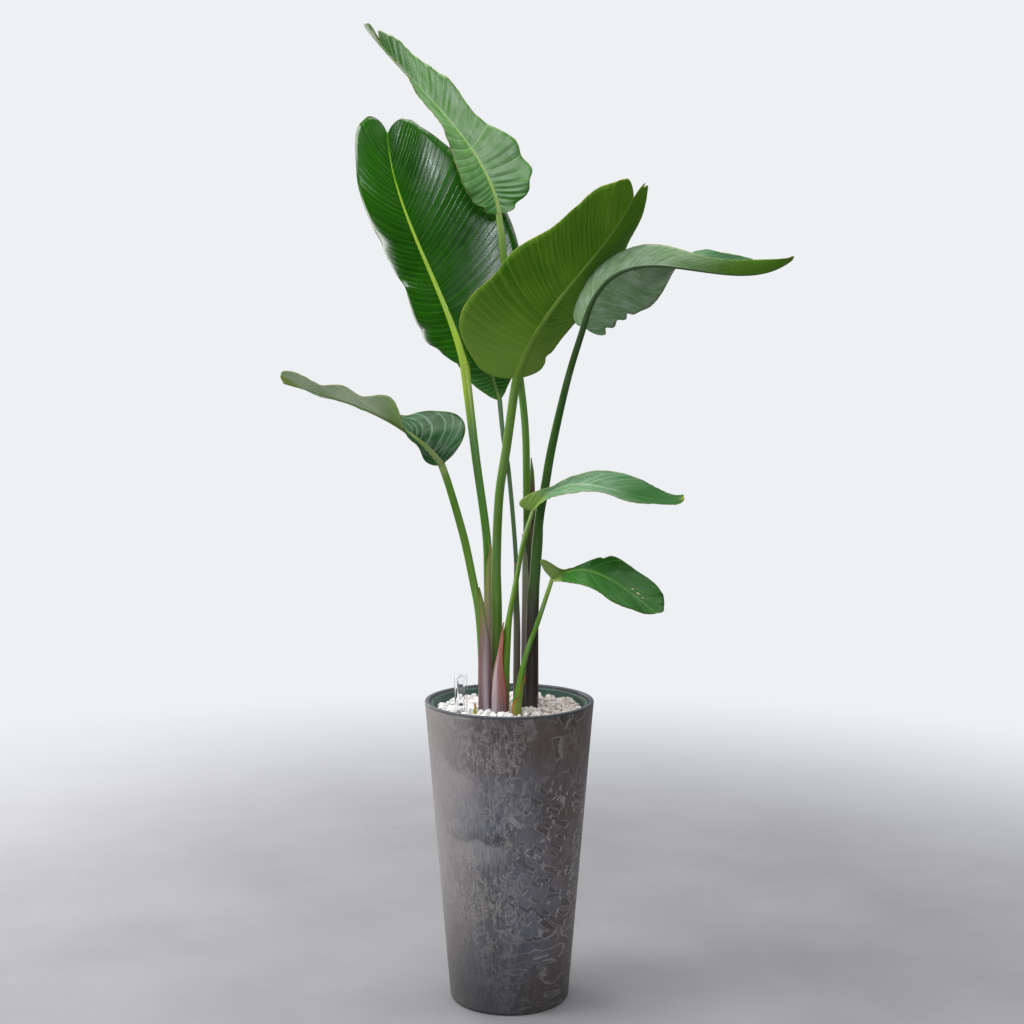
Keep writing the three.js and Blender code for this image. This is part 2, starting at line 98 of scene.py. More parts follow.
def spline(values: list | Numbers, s: float, open_ends: bool = False) -> float | Vector:
    """Point of a uniform Catmull-Rom spline.

    Args:
        values: evenly spaced numbers or vectors that the spline passes through.
        s: place from 0 to 1.
        open_ends: whether the ends carry on straight, or else are held.

    Returns:
        The number or vector at s.
    """
    last = len(values) - 1
    place = last * s
    step = min(int(place), last - 1)
    w = place - step
    p1, p2 = values[step], values[step + 1]
    before = values[step - 1] if step > 0 else (2 * p1 - p2 if open_ends else p1)
    after = values[step + 2] if step + 2 <= last else (2 * p2 - p1 if open_ends else p2)
    v1, v2 = (p2 - before) * 0.5, (after - p1) * 0.5
    return ((2 * p1 - 2 * p2 + v1 + v2) * w ** 3 + (-3 * p1 + 3 * p2 - 2 * v1 - v2) * w ** 2
            + v1 * w + p1)


def faced(along: Vector, face: Vector) -> tuple[Vector, Vector]:
    """Upward and sideways directions about a line.

    Args:
        along: unit direction of the line.
        face: the way the upper side looks, roughly.

    Returns:
        The upward direction square to the line, and the one across both.
    """
    up = (face - face.dot(along) * along).normalized()
    return up, along.cross(up)


def finish_mesh(bm: bmesh.types.BMesh, name: str, sharp: float = 180.0) -> bpy.types.Object:
    """Turns a bmesh into a linked, smooth-shaded object at the origin.

    Args:
        bm: the mesh, which is freed.
        name: name of the piece.
        sharp: angle in degrees above which an edge is sharp.

    Returns:
        The new object.
    """
    for face in bm.faces:
        face.smooth = True
    mesh = bpy.data.meshes.new(name)
    bm.to_mesh(mesh)
    bm.free()
    if sharp < 180.0:
        mesh.set_sharp_from_angle(angle=math.radians(sharp))
    piece = bpy.data.objects.new(name, mesh)
    bpy.context.scene.collection.objects.link(piece)
    return piece


def dress(piece: bpy.types.Object, nodes: tuple[str, ...],
          materials: list[bpy.types.Material]) -> bpy.types.Object:
    """Gives a piece its materials and its body, and hides the CAD nodes that it replaces.

    Args:
        piece: the finished piece.
        nodes: CAD nodes that the piece replaces.
        materials: its materials in slot order.

    Returns:
        The same piece.
    """
    piece.data.materials.clear()
    for material in materials:
        piece.data.materials.append(material)
    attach(piece, ROOT)
    if nodes:
        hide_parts(*nodes)
    LOG.info("piece %s: %d faces", piece.name, len(piece.data.polygons))
    return piece


def grid(across: int, along: int, names: tuple[str, ...]) -> tuple[bmesh.types.BMesh, dict]:
    """A flat grid from -1 to 1 both ways, with number attributes for its points.

    Args:
        across: steps in X.
        along: steps in Y.
        names: names of the attributes.

    Returns:
        The mesh and its attribute layers by name.
    """
    bm = bmesh.new()
    bmesh.ops.create_grid(bm, x_segments=across, y_segments=along, size=1.0)
    return bm, {name: bm.verts.layers.float.new(name) for name in names}


def thicken(piece: bpy.types.Object, thickness: float, under: int = 0) -> None:
    """Gives a sheet its thickness, half to each side.

    Args:
        piece: the sheet.
        thickness: in metres.
        under: how many material slots further the lower face is.
    """
    shell = piece.modifiers.new("thickness", "SOLIDIFY")
    shell.thickness = thickness
    shell.offset = 0.0
    shell.use_rim = True
    shell.material_offset = under


def turned(profile: list[tuple[float, float]], steps: int) -> bmesh.types.BMesh:
    """Solid or shell of a profile turned about the Z axis.

    Args:
        profile: points of radius and height, from one end to the other.
        steps: steps round the axis.

    Returns:
        The mesh, with its poles closed and its faces pointing out.
    """
    bm = bmesh.new()
    points = [bm.verts.new((radius, 0.0, z)) for radius, z in profile]
    edges = [bm.edges.new(pair) for pair in zip(points, points[1:])]
    bmesh.ops.spin(bm, geom=points + edges, cent=(0, 0, 0), axis=(0, 0, 1), dvec=(0, 0, 0),
                   angle=2 * math.pi, steps=steps, use_merge=True, use_duplicate=False)
    bmesh.ops.remove_doubles(bm, verts=bm.verts, dist=WELD)
    bmesh.ops.recalc_face_normals(bm, faces=bm.faces)
    return bm


def rounded(centre: tuple[float, float], radius: float, start: float, end: float,
            steps: int) -> list[tuple[float, float]]:
    """Points of an arc in a turned profile.

    Args:
        centre: radius and height of the arc's centre.
        radius: the arc's radius.
        start: angle in degrees where it starts, 0 pointing outwards.
        end: angle where it ends.
        steps: how many steps it has.

    Returns:
        The points as radius and height.
    """
    angles = [math.radians(lerp(start, end, i / steps)) for i in range(steps + 1)]
    return [(centre[0] + radius * math.cos(a), centre[1] + radius * math.sin(a)) for a in angles]


# Shader wiring

class Wiring:
    """Adds and joins the nodes of one material or node group."""

    def __init__(self, tree: bpy.types.NodeTree) -> None:
        """Takes the tree to work in."""
        self.tree = tree

    def add(self, kind: str, inputs: dict | None = None, **settings: object) -> bpy.types.Node:
        """Adds a node.

        Args:
            kind: node type without its ShaderNode prefix.
            inputs: values or output sockets by input name or number.
            settings: the node's own properties.

        Returns:
            The node.
        """
        node = self.tree.nodes.new("ShaderNode" + kind)
        for key, value in settings.items():
            setattr(node, key, value)
        for key, value in (inputs or {}).items():
            self.feed(node.inputs[key], value)
        return node

    def feed(self, socket: Socket, value: Value | Numbers) -> None:
        """Links an output to a socket, or sets the socket to a value.

        Args:
            socket: the input.
            value: an output socket, a number or a vector.
        """
        if isinstance(value, Socket):
            self.tree.links.new(value, socket)
        else:
            socket.default_value = value

    def sum(self, operation: str, a: Value, b: Value = 0.0, clamp: bool = False) -> Socket:
        """Result of a Math node on one or two values."""
        node = self.add("Math", {0: a, 1: b}, operation=operation, use_clamp=clamp)
        return node.outputs[0]

    def times(self, a: Value, b: Value) -> Socket:
        """Product of two values."""
        return self.sum("MULTIPLY", a, b)

    def plus(self, a: Value, b: Value, clamp: bool = False) -> Socket:
        """Sum of two values, held between 0 and 1 on request."""
        return self.sum("ADD", a, b, clamp)

    def minus(self, a: Value, b: Value) -> Socket:
        """Difference of two values."""
        return self.sum("SUBTRACT", a, b)

    def most(self, a: Value, b: Value) -> Socket:
        """The larger of two values."""
        return self.sum("MAXIMUM", a, b)

    def ranged(self, value: Value, low: Value, high: Value, start: float = 0.0,
               end: float = 1.0) -> Socket:
        """Value mapped smoothly from low and high to start and end."""
        inputs = {"Value": value, "From Min": low, "From Max": high, "To Min": start, "To Max": end}
        return self.add("MapRange", inputs, interpolation_type="SMOOTHSTEP").outputs[0]

    def blend(self, share: Value, a: Socket | str, b: Socket | str) -> Socket:
        """Colour a blended with colour b.

        Args:
            share: how much of b there is, from 0 to 1.
            a: a colour socket or a hex code.
            b: another.

        Returns:
            The blended colour.
        """
        a, b = [tint(c) if isinstance(c, str) else c for c in (a, b)]
        node = self.add("Mix", {0: share, 6: a, 7: b}, data_type="RGBA", blend_type="MIX")
        return node.outputs[2]

    def place(self, vector: Socket, scale: Numbers, turn: Numbers = (0.0, 0.0, 0.0),
              shift: Numbers = (0.0, 0.0, 0.0)) -> Socket:
        """Scales, turns and shifts a vector.

        Args:
            vector: the vector to place.
            scale: its scale along each axis.
            turn: its turn about each axis, in degrees.
            shift: its shift.

        Returns:
            The placed vector.
        """
        inputs = {"Vector": vector, "Scale": scale, "Location": shift,
                  "Rotation": tuple(math.radians(a) for a in turn)}
        return self.add("Mapping", inputs).outputs[0]

    def cloud(self, vector: Socket, scale: Value, detail: float = 4.0, rough: float = 0.55,
              warp: float = 0.0) -> Socket:
        """Soft noise over a vector.

        Args:
            vector: where it is read.
            scale: how fine it is.
            detail: how many finer layers it has.
            rough: how strong they are.
            warp: how much it is stirred.

        Returns:
            The noise, mostly from 0.3 to 0.7.
        """
        inputs = {"Vector": vector, "Scale": scale, "Detail": detail, "Roughness": rough,
                  "Distortion": warp}
        return self.add("TexNoise", inputs).outputs[0]

    def flat(self, a: Value, b: Value) -> Socket:
        """Vector of two values."""
        return self.add("CombineXYZ", {0: a, 1: b}).outputs[0]

    def read(self, name: str) -> Socket:
        """Number of a piece's own attribute."""
        return self.add("Attribute", attribute_name=name).outputs["Fac"]

    def local(self) -> Socket:
        """Object coordinates."""
        return self.add("TexCoord").outputs["Object"]

    def effect(self, group: bpy.types.NodeTree, inputs: dict) -> bpy.types.Node:
        """Places a shared effect with its own values."""
        return self.add("Group", inputs, node_tree=group)


class Surface(Wiring):
    """A new material: its wiring and its Principled shader."""

    def __init__(self, name: str) -> None:
        """Makes the material.

        Args:
            name: the material's name.
        """
        self.material = bpy.data.materials.new(name)
        self.material.use_nodes = True
        super().__init__(self.material.node_tree)
        self.shader = self.tree.nodes["Principled BSDF"]

    def finish(self, colour: Socket, roughness: Value, height: Socket, strength: float,
               distance: float) -> bpy.types.Material:
        """Feeds the shader.

        Args:
            colour: base colour.
            roughness: a value or a socket.
            height: height of the fine relief.
            strength: strength of the relief.
            distance: depth of the relief in metres.

        Returns:
            The finished material.
        """
        self.feed(self.shader.inputs["Base Color"], colour)
        self.feed(self.shader.inputs["Roughness"], roughness)
        bump = self.add("Bump", {"Height": height, "Strength": strength, "Distance": distance})
        self.feed(self.shader.inputs["Normal"], bump.outputs[0])
        return self.material


def new_effect(name: str, inputs: dict[str, float],
               outputs: list[str]) -> tuple[bpy.types.NodeTree, Wiring, bpy.types.Node, bpy.types.Node]:
    """An empty node group with number sockets.

    Args:
        name: the effect's name.
        inputs: default value of each input by name.
        outputs: names of the outputs.

    Returns:
        The group, its wiring, its inputs node and its outputs node.
    """
    group = bpy.data.node_groups.new(name, "ShaderNodeTree")
    for key, value in inputs.items():
        socket = group.interface.new_socket(name=key, in_out="INPUT", socket_type="NodeSocketFloat")
        socket.default_value = value
    for key in outputs:
        group.interface.new_socket(name=key, in_out="OUTPUT", socket_type="NodeSocketFloat")
    start = group.nodes.new("NodeGroupInput")
    end = group.nodes.new("NodeGroupOutput")
    return group, Wiring(group), start, end


class Effects:
    """Shader effects that several materials share, each built once."""

    def __init__(self) -> None:
        """Builds the effects."""
        self.veins = self._veins()
        self.grain = self._grain()
        self.dust = self._dust()

    @staticmethod
    def _veins() -> bpy.types.NodeTree:
        """Side veins and the fine lines between them, from a blade's own attributes.

        Returns:
            The group.
        """
        group, w, start, end = new_effect("side_veins", {"Width": 0.1, "Fine": 6.0}, ["Line", "Thread"])
        pleat, reach = w.read("pleat"), w.read("reach")
        apart = w.sum("PINGPONG", pleat, 0.5)
        near = w.sum("DIVIDE", apart, start.outputs["Width"])
        line = w.ranged(near, 0.0, 1.0, 1.0, 0.0)
        fade = w.times(w.ranged(reach, 0.0, 0.06), w.ranged(reach, 0.93, 1.0, 1.0, 0.4))
        thread = w.sum("PINGPONG", w.times(pleat, start.outputs["Fine"]), 0.5)
        w.feed(end.inputs["Line"], w.times(line, fade))
        w.feed(end.inputs["Thread"], w.times(w.times(thread, 2.0), fade))
        return group

    @staticmethod
    def _grain() -> bpy.types.NodeTree:
        """Fine even grain over Object coordinates.

        Returns:
            The group.
        """
        group, w, start, end = new_effect("fine_grain", {"Scale": 900.0, "Amount": 1.0}, ["Height"])
        grain = w.cloud(w.local(), start.outputs["Scale"], 3.0, 0.5)
        w.feed(end.inputs["Height"], w.times(grain, start.outputs["Amount"]))
        return group

    @staticmethod
    def _dust() -> bpy.types.NodeTree:
        """Scattered pale specks of stone dust.

        Returns:
            The group.
        """
        group, w, start, end = new_effect("stone_dust", {"Scale": 160.0, "Size": 0.12}, ["Speck"])
        cells = w.add("TexVoronoi", {"Vector": w.local(), "Scale": start.outputs["Scale"]})
        chance = w.add("SeparateColor", {0: cells.outputs["Color"]}).outputs[0]
        size = w.times(start.outputs["Size"], w.ranged(chance, 0.55, 1.0))
        w.feed(end.inputs["Speck"], w.sum("LESS_THAN", cells.outputs["Distance"], size))
        return group


EFFECTS = Effects()


# Finishes

@dataclass(frozen=True)
class Zone:
    """A stretch of a blade, as shares of its length, that takes another colour."""

    start: float
    full: float
    colour: str
    share: float = 0.8


@dataclass(frozen=True)
class BladeFinish:
    """Finish of one face of a leaf blade.

    A spot has its place along the rib as a share, and its distance from the rib and its radius
    in metres, on a blade that is blade_length metres long.
    """

    name: str
    deep: str
    light: str
    vein: str
    margin: str
    roughness: float = 0.36
    gloss: float = 0.25
    line: float = 0.35
    relief: float = 0.4
    width: float = 0.1
    patches: float = 0.4
    # bloom: share of the pale waxy haze, partly a painted sheen of reflected light.
    bloom: float = 0.0
    zones: tuple[Zone, ...] = ()
    spots: tuple[Numbers, ...] = ()
    spot: str = "#d2bd92"
    blade_length: float = 0.22
    # wax: colour of the waxy bloom and of its painted sheen.
    wax: str = "#b9cdbb"

    def material(self) -> bpy.types.Material:
        """Material that follows the veins of the blade.

        Returns:
            The material.
        """
        w = Surface(self.name)
        veins = w.effect(EFFECTS.veins, {"Width": self.width, "Fine": 3.0})
        reach, course, pleat = w.read("reach"), w.read("course"), w.read("pleat")
        across = w.read("across")
        colour = self._green(w, veins, pleat, reach)
        # Pale waxy bloom, partly painted sheen: a whitish haze for the leaf's wax and for light reflected
        # off the blade.
        wax_and_sheen_place = w.flat(w.times(pleat, 0.55), w.times(reach, 2.2))
        haze = w.ranged(w.cloud(wax_and_sheen_place, 1.0, 3.0), 0.4, 0.7)
        colour = w.blend(w.times(haze, self.bloom), colour, self.wax)
        beside = w.ranged(w.sum("ABSOLUTE", across), 0.0015, 0.006, 0.45, 0.0)
        colour = w.blend(beside, colour, self.vein)
        for zone in self.zones:
            share = w.ranged(course, zone.start, zone.full, 0.0, zone.share)
            colour = w.blend(share, colour, zone.colour)
        on_blade = w.flat(w.times(course, self.blade_length), across)
        for place, aside, size in self.spots:
            middle = (self.blade_length * place, aside, 0.0)
            away = w.add("VectorMath", {0: on_blade, 1: middle}, operation="DISTANCE")
            colour = w.blend(w.ranged(away.outputs["Value"], size, 0.7 * size), colour, self.spot)
        inward = w.minus(w.read("span"), w.sum("ABSOLUTE", across))
        worn = w.ranged(w.cloud(w.local(), 40.0, 2.0), 0.35, 0.6, 0.3, 0.9)
        colour = w.blend(w.times(w.ranged(inward, 0.0003, 0.0016, 1.0, 0.0), worn), colour, self.margin)
        patch = w.cloud(w.local(), 30.0, 4.0)
        roughness = w.ranged(patch, 0.3, 0.7, self.roughness - 0.05, self.roughness + 0.07)
        w.shader.inputs["Specular IOR Level"].default_value = self.gloss
        grain = w.effect(EFFECTS.grain, {"Scale": 600.0, "Amount": 0.03})
        height = w.minus(w.times(veins.outputs["Thread"], 0.2), w.times(veins.outputs["Line"], 0.8))
        height = w.plus(height, grain.outputs["Height"])
        return w.finish(colour, roughness, height, self.relief, 0.0006)

    def _green(self, w: Wiring, veins: bpy.types.Node, pleat: Socket, reach: Socket) -> Socket:
        """Green of the blade with its streaks, patches and side veins.

        Args:
            w: the material's wiring.
            veins: the placed vein effect.
            pleat: count of side veins from the base.
            reach: place from the rib to the margin.

        Returns:
            The colour.
        """
        streak = w.cloud(w.flat(w.times(pleat, 1.7), w.times(reach, 1.3)), 1.0, 3.0)
        patch = w.cloud(w.local(), 9.0, 3.0, 0.5)
        share = w.plus(w.times(w.ranged(streak, 0.3, 0.7), 0.5),
                       w.times(w.ranged(patch, 0.35, 0.7), self.patches), True)
        colour = w.blend(share, self.deep, self.light)
        colour = w.blend(w.times(veins.outputs["Thread"], 0.08), colour, self.light)
        return w.blend(w.times(veins.outputs["Line"], self.line), colour, self.vein)


@dataclass(frozen=True)
class StalkFinish:
    """Finish of a stalk or rib with fine lines along it.

    It may change to the low colour at its foot and to the high one at its upper end.
    """

    name: str
    light: str
    dark: str
    low: str = ""
    low_from: float = 0.0
    low_to: float = 1.0
    roughness: float = 0.4
    bloom: float = 0.12
    high: str = ""
    wax: str = "#b9bdb4"

    def material(self) -> bpy.types.Material:
        """Material with fine lines along the stalk.

        Returns:
            The material.
        """
        w = Surface(self.name)
        turn, climb = w.read("turn"), w.read("climb")
        streak = w.cloud(w.flat(w.times(turn, 24.0), w.times(climb, 9.0)), 1.0, 4.0, 0.6)
        patch = w.cloud(w.place(w.local(), (1.0, 1.0, 0.2)), 22.0, 3.0)
        share = w.plus(w.times(w.ranged(streak, 0.2, 0.8), 0.5),
                       w.times(w.ranged(patch, 0.35, 0.7), 0.4), True)
        colour = w.blend(share, self.dark, self.light)
        if self.low:
            uneven = w.plus(climb, w.times(w.minus(streak, 0.5), 0.12))
            colour = w.blend(w.ranged(uneven, self.low_from, self.low_to, 1.0, 0.0), colour, self.low)
        if self.high:
            colour = w.blend(w.ranged(climb, 0.85, 0.99), colour, self.high)
        haze = w.ranged(w.cloud(w.place(w.local(), (1.0, 1.0, 0.12)), 30.0, 2.0), 0.45, 0.75)
        colour = w.blend(w.times(haze, self.bloom), colour, self.wax)
        roughness = w.ranged(patch, 0.3, 0.7, self.roughness - 0.06, self.roughness + 0.08)
        return w.finish(colour, roughness, streak, 0.2, 0.0005)


@dataclass(frozen=True)
class SheathFinish:
    """Finish of a sheath: dark at the soil, mauve-brown above and green towards its point."""

    name: str
    low: str = "#2a1d18"
    middle: str = "#5f4a4b"
    high: str = "#5c7038"
    edge: str = "#9a6a4a"
    edge_from: float = 0.94
    bloom: float = 0.45
    bloom_at: float = 0.35
    wax: str = "#d6d0da"
    dust: str = "#d9d4d0"

    def material(self) -> bpy.types.Material:
        """Material that follows the sheath's own attributes.

        Returns:
            The material.
        """
        w = Surface(self.name)
        turn, climb, rim = w.read("turn"), w.read("climb"), w.read("rim")
        streak = w.cloud(w.flat(w.times(turn, 22.0), w.times(climb, 2.0)), 1.0, 5.0, 0.55)
        uneven = w.plus(climb, w.times(w.minus(streak, 0.5), 0.25))
        colour = w.blend(w.ranged(uneven, 0.22, 0.45), self.low, self.middle)
        colour = w.blend(w.ranged(uneven, 0.5, 0.85), colour, self.high)
        colour = w.blend(w.ranged(streak, 0.5, 0.85, 0.0, 0.3), colour, self.low)
        aside = w.sum("ABSOLUTE", w.minus(turn, self.bloom_at))
        band = w.times(w.ranged(aside, 0.02, 0.2, 1.0, 0.0), w.ranged(climb, 0.95, 0.5))
        broad = w.cloud(w.place(w.local(), (1.0, 1.0, 0.1)), 45.0, 3.0)
        haze = w.times(w.plus(w.times(band, 0.8), 0.12), w.ranged(broad, 0.3, 0.65))
        haze = w.times(haze, w.ranged(streak, 0.4, 0.6, 0.45, 1.0))
        colour = w.blend(w.times(haze, self.bloom), colour, self.wax)
        upper_edge = w.times(w.ranged(rim, self.edge_from, 0.99), w.ranged(climb, 0.2, 0.5, 0.3, 0.9))
        colour = w.blend(upper_edge, colour, self.edge)
        dust = w.effect(EFFECTS.dust, {"Scale": 200.0, "Size": 0.13})
        colour = w.blend(w.times(dust.outputs["Speck"], 0.6), colour, self.dust)
        return w.finish(colour, w.ranged(streak, 0.3, 0.7, 0.38, 0.52), streak, 0.3, 0.0006)


@dataclass(frozen=True)
class StoneLookFinish:
    """Mottled, brushed stone look of the planter.

    A brushed patch has the height of its upper edge, how far down it fades and where its middle
    is from left to right, all in metres.
    """

    name: str = "stone_look"
    base: str = "#74727a"
    dark: str = "#4d4d52"
    blue: str = "#626c7a"
    brown: str = "#5c514c"
    # pale: colour of the flaky outlines, brushed patches and hair streaks, and also of the painted
    # highlight down the left side.
    pale: str = "#b3adab"
    island: str = "#403936"
    streak: str = "#2c2c2e"
    # foot: colour of the painted shade at the planter's foot.
    foot: str = "#2a2829"
    rim: str = "#3d444d"
    smudge: str = "#2b2a2b"
    edge: str = "#34363a"
    brushed: tuple[Numbers, ...] = ((0.515, 0.13, -0.1), (0.355, 0.09, -0.06))

    def material(self) -> bpy.types.Material:
        """Material in grey with brushed bands, flaky pale outlines, dark islands, a painted highlight
        down the left side and painted shade at the foot.

        Returns:
            The material.
        """
        w = Surface(self.name)
        here = w.local()
        x, _, z = w.add("SeparateXYZ", {0: here}).outputs
        broad = w.cloud(w.place(here, (1.0, 1.0, 0.5)), 8.0, 5.0, 0.6, 0.5)
        hair = w.cloud(w.place(here, (1.0, 1.0, 0.09)), 300.0, 4.0, 0.7)
        colour = w.blend(w.ranged(broad, 0.3, 0.7), self.dark, self.base)
        cool = w.cloud(w.place(here, (1.0, 1.0, 0.6), shift=(3.0, 1.0, 2.0)), 9.0, 4.0, 0.6, 0.8)
        colour = w.blend(w.ranged(cool, 0.45, 0.65, 0.0, 0.7), colour, self.blue)
        rightwards = w.plus(w.times(x, 2.4), w.cloud(here, 6.0, 3.0))
        colour = w.blend(w.ranged(rightwards, 0.5, 0.85, 0.0, 0.8), colour, self.brown)
        colour = self._bands(w, colour, x, z, hair, broad)
        line, island = self._marks(w, here, x, z)
        colour = w.blend(island, colour, self.island)
        colour = w.blend(line, colour, self.pale)
        leftwards = w.ranged(x, 0.05, -0.03, 0.12, 0.4)
        colour = w.blend(w.times(w.ranged(hair, 0.4, 0.75), leftwards), colour, self.pale)
        colour = w.blend(w.times(w.ranged(hair, 0.5, 0.25), leftwards), colour, self.streak)
        # Painted highlight: the left side of the planter is blended towards the pale colour, as if lit
        # from the left.
        lit = w.ranged(w.plus(x, w.times(broad, 0.06)), 0.01, -0.12, 0.0, 0.66)
        colour = w.blend(lit, colour, self.pale)
        # Painted shade: the planter is darker towards its foot, a little more so on the left.
        shaded = w.ranged(w.plus(z, w.times(x, 0.3)), 0.0, 0.26, 0.7, 0.0)
        colour = w.blend(shaded, colour, self.foot)
        below_rim = w.minus(RIM_HEIGHT, z)
        colour = w.blend(w.ranged(below_rim, 0.0065, 0.0025, 0.0, 0.85), colour, self.rim)
        relief = w.plus(w.times(hair, 0.3), w.times(line, 0.5))
        relief = w.minus(relief, w.times(island, 0.4))
        return w.finish(colour, w.ranged(broad, 0.3, 0.7, 0.34, 0.5), relief, 0.4, 0.0008)

    def _bands(self, w: Wiring, colour: Socket, x: Socket, z: Socket, hair: Socket,
               broad: Socket) -> Socket:
        """A brown top, dark smudges below the rim and brushed patches with dark upper edges.

        Args:
            w: the material's wiring.
            colour: the colour so far.
            x: place to the right.
            z: height.
            hair: fine upright streaks.
            broad: broad cloud.

        Returns:
            The colour with its bands.
        """
        rough = w.plus(w.times(w.minus(hair, 0.5), 0.05), w.times(w.minus(broad, 0.5), 0.16))
        ragged = w.plus(z, rough)
        colour = w.blend(w.ranged(ragged, 0.49, 0.55, 0.0, 0.7), colour, self.brown)
        smudge = w.ranged(broad, 0.5, 0.62)
        colour = w.blend(w.times(w.ranged(ragged, 0.57, 0.6, 0.0, 0.6), smudge), colour, self.smudge)
        for edge, fade, middle in self.brushed:
            aside = w.sum("ABSOLUTE", w.minus(w.plus(x, rough), middle))
            there = w.ranged(aside, 0.07, 0.035)
            lit = w.times(w.ranged(ragged, edge - fade, edge - 0.01),
                          w.ranged(ragged, edge, edge - 0.006))
            colour = w.blend(w.times(w.times(lit, there), 0.45), colour, self.pale)
            line = w.times(w.ranged(ragged, edge - 0.004, edge + 0.002),
                           w.ranged(ragged, edge + 0.03, edge + 0.002))
            colour = w.blend(w.times(w.times(line, there), 0.7), colour, self.edge)
        return colour

    @staticmethod
    def _islands(w: Wiring, moved: Socket, turn: float, stretch: Numbers, scale: float,
                 kept: float) -> tuple[Socket, Socket]:
        """Long four-sided islands with an outline.

        Args:
            w: the material's wiring.
            moved: stirred Object coordinates.
            turn: slope of the islands, in degrees.
            stretch: how much finer they are along their own axes.
            scale: how many there are to a metre.
            kept: share of them that is shown.

        Returns:
            The masks of the islands and of their outlines.
        """
        slanted = w.place(w.place(moved, (1.0, 0.3, 1.0), (0.0, turn, 0.0)), stretch)
        inputs = {"Vector": slanted, "Scale": scale, "Randomness": 0.8}
        cells = w.add("TexVoronoi", inputs, distance="CHEBYCHEV")
        chance = w.add("SeparateColor", {0: cells.outputs["Color"]}).outputs[0]
        chosen = w.sum("LESS_THAN", chance, kept)
        away = cells.outputs["Distance"]
        around = w.times(w.ranged(away, 0.29, 0.31), w.ranged(away, 0.36, 0.33))
        return (w.times(w.ranged(away, 0.29, 0.32, 1.0, 0.0), chosen), w.times(around, chosen))

    def _marks(self, w: Wiring, here: Socket, x: Socket, z: Socket) -> tuple[Socket, Socket]:
        """Flaky outlines all round, waves at the lower right, slabs and chips at the right.

        Args:
            w: the material's wiring.
            here: Object coordinates.
            x: place to the right.
            z: height.

        Returns:
            The masks of the pale outlines and of the dark islands.
        """
        stir = w.add("TexNoise", {"Vector": here, "Scale": 34.0, "Detail": 3.0}).outputs["Color"]
        stir = w.add("VectorMath", {0: stir, 1: (0.5, 0.5, 0.5)}, operation="SUBTRACT").outputs[0]
        stir = w.add("VectorMath", {0: stir, "Scale": 0.02}, operation="SCALE").outputs[0]
        moved = w.add("VectorMath", {0: here, 1: stir}, operation="ADD").outputs[0]
        flake = w.cloud(w.place(moved, (1.0, 1.0, 0.6)), 32.0, 7.0, 0.76)
        flake = w.sum("ABSOLUTE", w.minus(flake, 0.5))
        some = w.cloud(w.place(here, (1.0, 1.0, 0.7), shift=(1.0, 2.0, 3.0)), 11.0, 3.0)
        some = w.times(w.ranged(some, 0.36, 0.54), w.ranged(x, 0.0, 0.06, 1.0, 0.35))
        flaky = w.times(w.ranged(flake, 0.0, 0.03, 0.85, 0.0), some)
        wave = w.cloud(w.place(moved, (0.35, 0.35, 1.6)), 18.0, 2.0, 0.4)
        wave = w.sum("PINGPONG", w.times(wave, 8.0), 0.5)
        low_right = w.times(w.ranged(z, 0.2, 0.15), w.ranged(x, -0.03, 0.02))
        wavy = w.times(w.ranged(wave, 0.0, 0.13, 0.8, 0.0), low_right)
        where = w.plus(w.times(x, 3.0), w.cloud(here, 9.0, 3.0))
        region = w.times(w.ranged(where, 0.45, 0.58),
                         w.times(w.ranged(z, 0.5, 0.44), w.ranged(z, 0.13, 0.17)))
        slabs, slab_rims = self._islands(w, moved, -40.0, (0.55, 1.0, 2.2), 28.0, 0.65)
        chips, chip_rims = self._islands(w, moved, -28.0, (0.6, 1.0, 2.1), 40.0, 0.55)
        slabs, slab_rims = w.most(slabs, chips), w.most(slab_rims, chip_rims)
        high = w.times(w.ranged(where, 0.4, 0.5), w.ranged(z, 0.46, 0.5))
        tongues, tongue_rims = self._islands(w, moved, -76.0, (0.6, 1.0, 1.3), 26.0, 0.5)
        island = w.most(w.times(w.times(slabs, region), 0.55), w.times(w.times(tongues, high), 0.4))
        outline = w.most(w.times(w.times(slab_rims, region), 0.65),
                         w.times(w.times(tongue_rims, high), 0.35))
        return w.most(w.most(flaky, wavy), outline), island


@dataclass(frozen=True)
class PlainFinish:
    """Even moulded or earthy finish with grain, colour variation and dust."""

    name: str
    colour: str
    second: str
    roughness: float
    grain: float = 900.0
    relief: float = 0.3
    dust: float = 0.0
    speck: str = "#e0dedb"

    def material(self) -> bpy.types.Material:
        """Material of two near colours with a fine grain.

        Returns:
            The material.
        """
        w = Surface(self.name)
        patch = w.cloud(w.local(), 28.0, 5.0, 0.6)
        colour = w.blend(w.ranged(patch, 0.3, 0.7), self.colour, self.second)
        if self.dust > 0:
            specks = w.effect(EFFECTS.dust, {"Scale": 190.0, "Size": 0.16}).outputs["Speck"]
            colour = w.blend(w.times(specks, self.dust), colour, self.speck)
        roughness = w.ranged(patch, 0.3, 0.7, self.roughness - 0.05, self.roughness + 0.05)
        grain = w.effect(EFFECTS.grain, {"Scale": self.grain, "Amount": 1.0})
        return w.finish(colour, roughness, grain.outputs["Height"], self.relief, 0.0005)


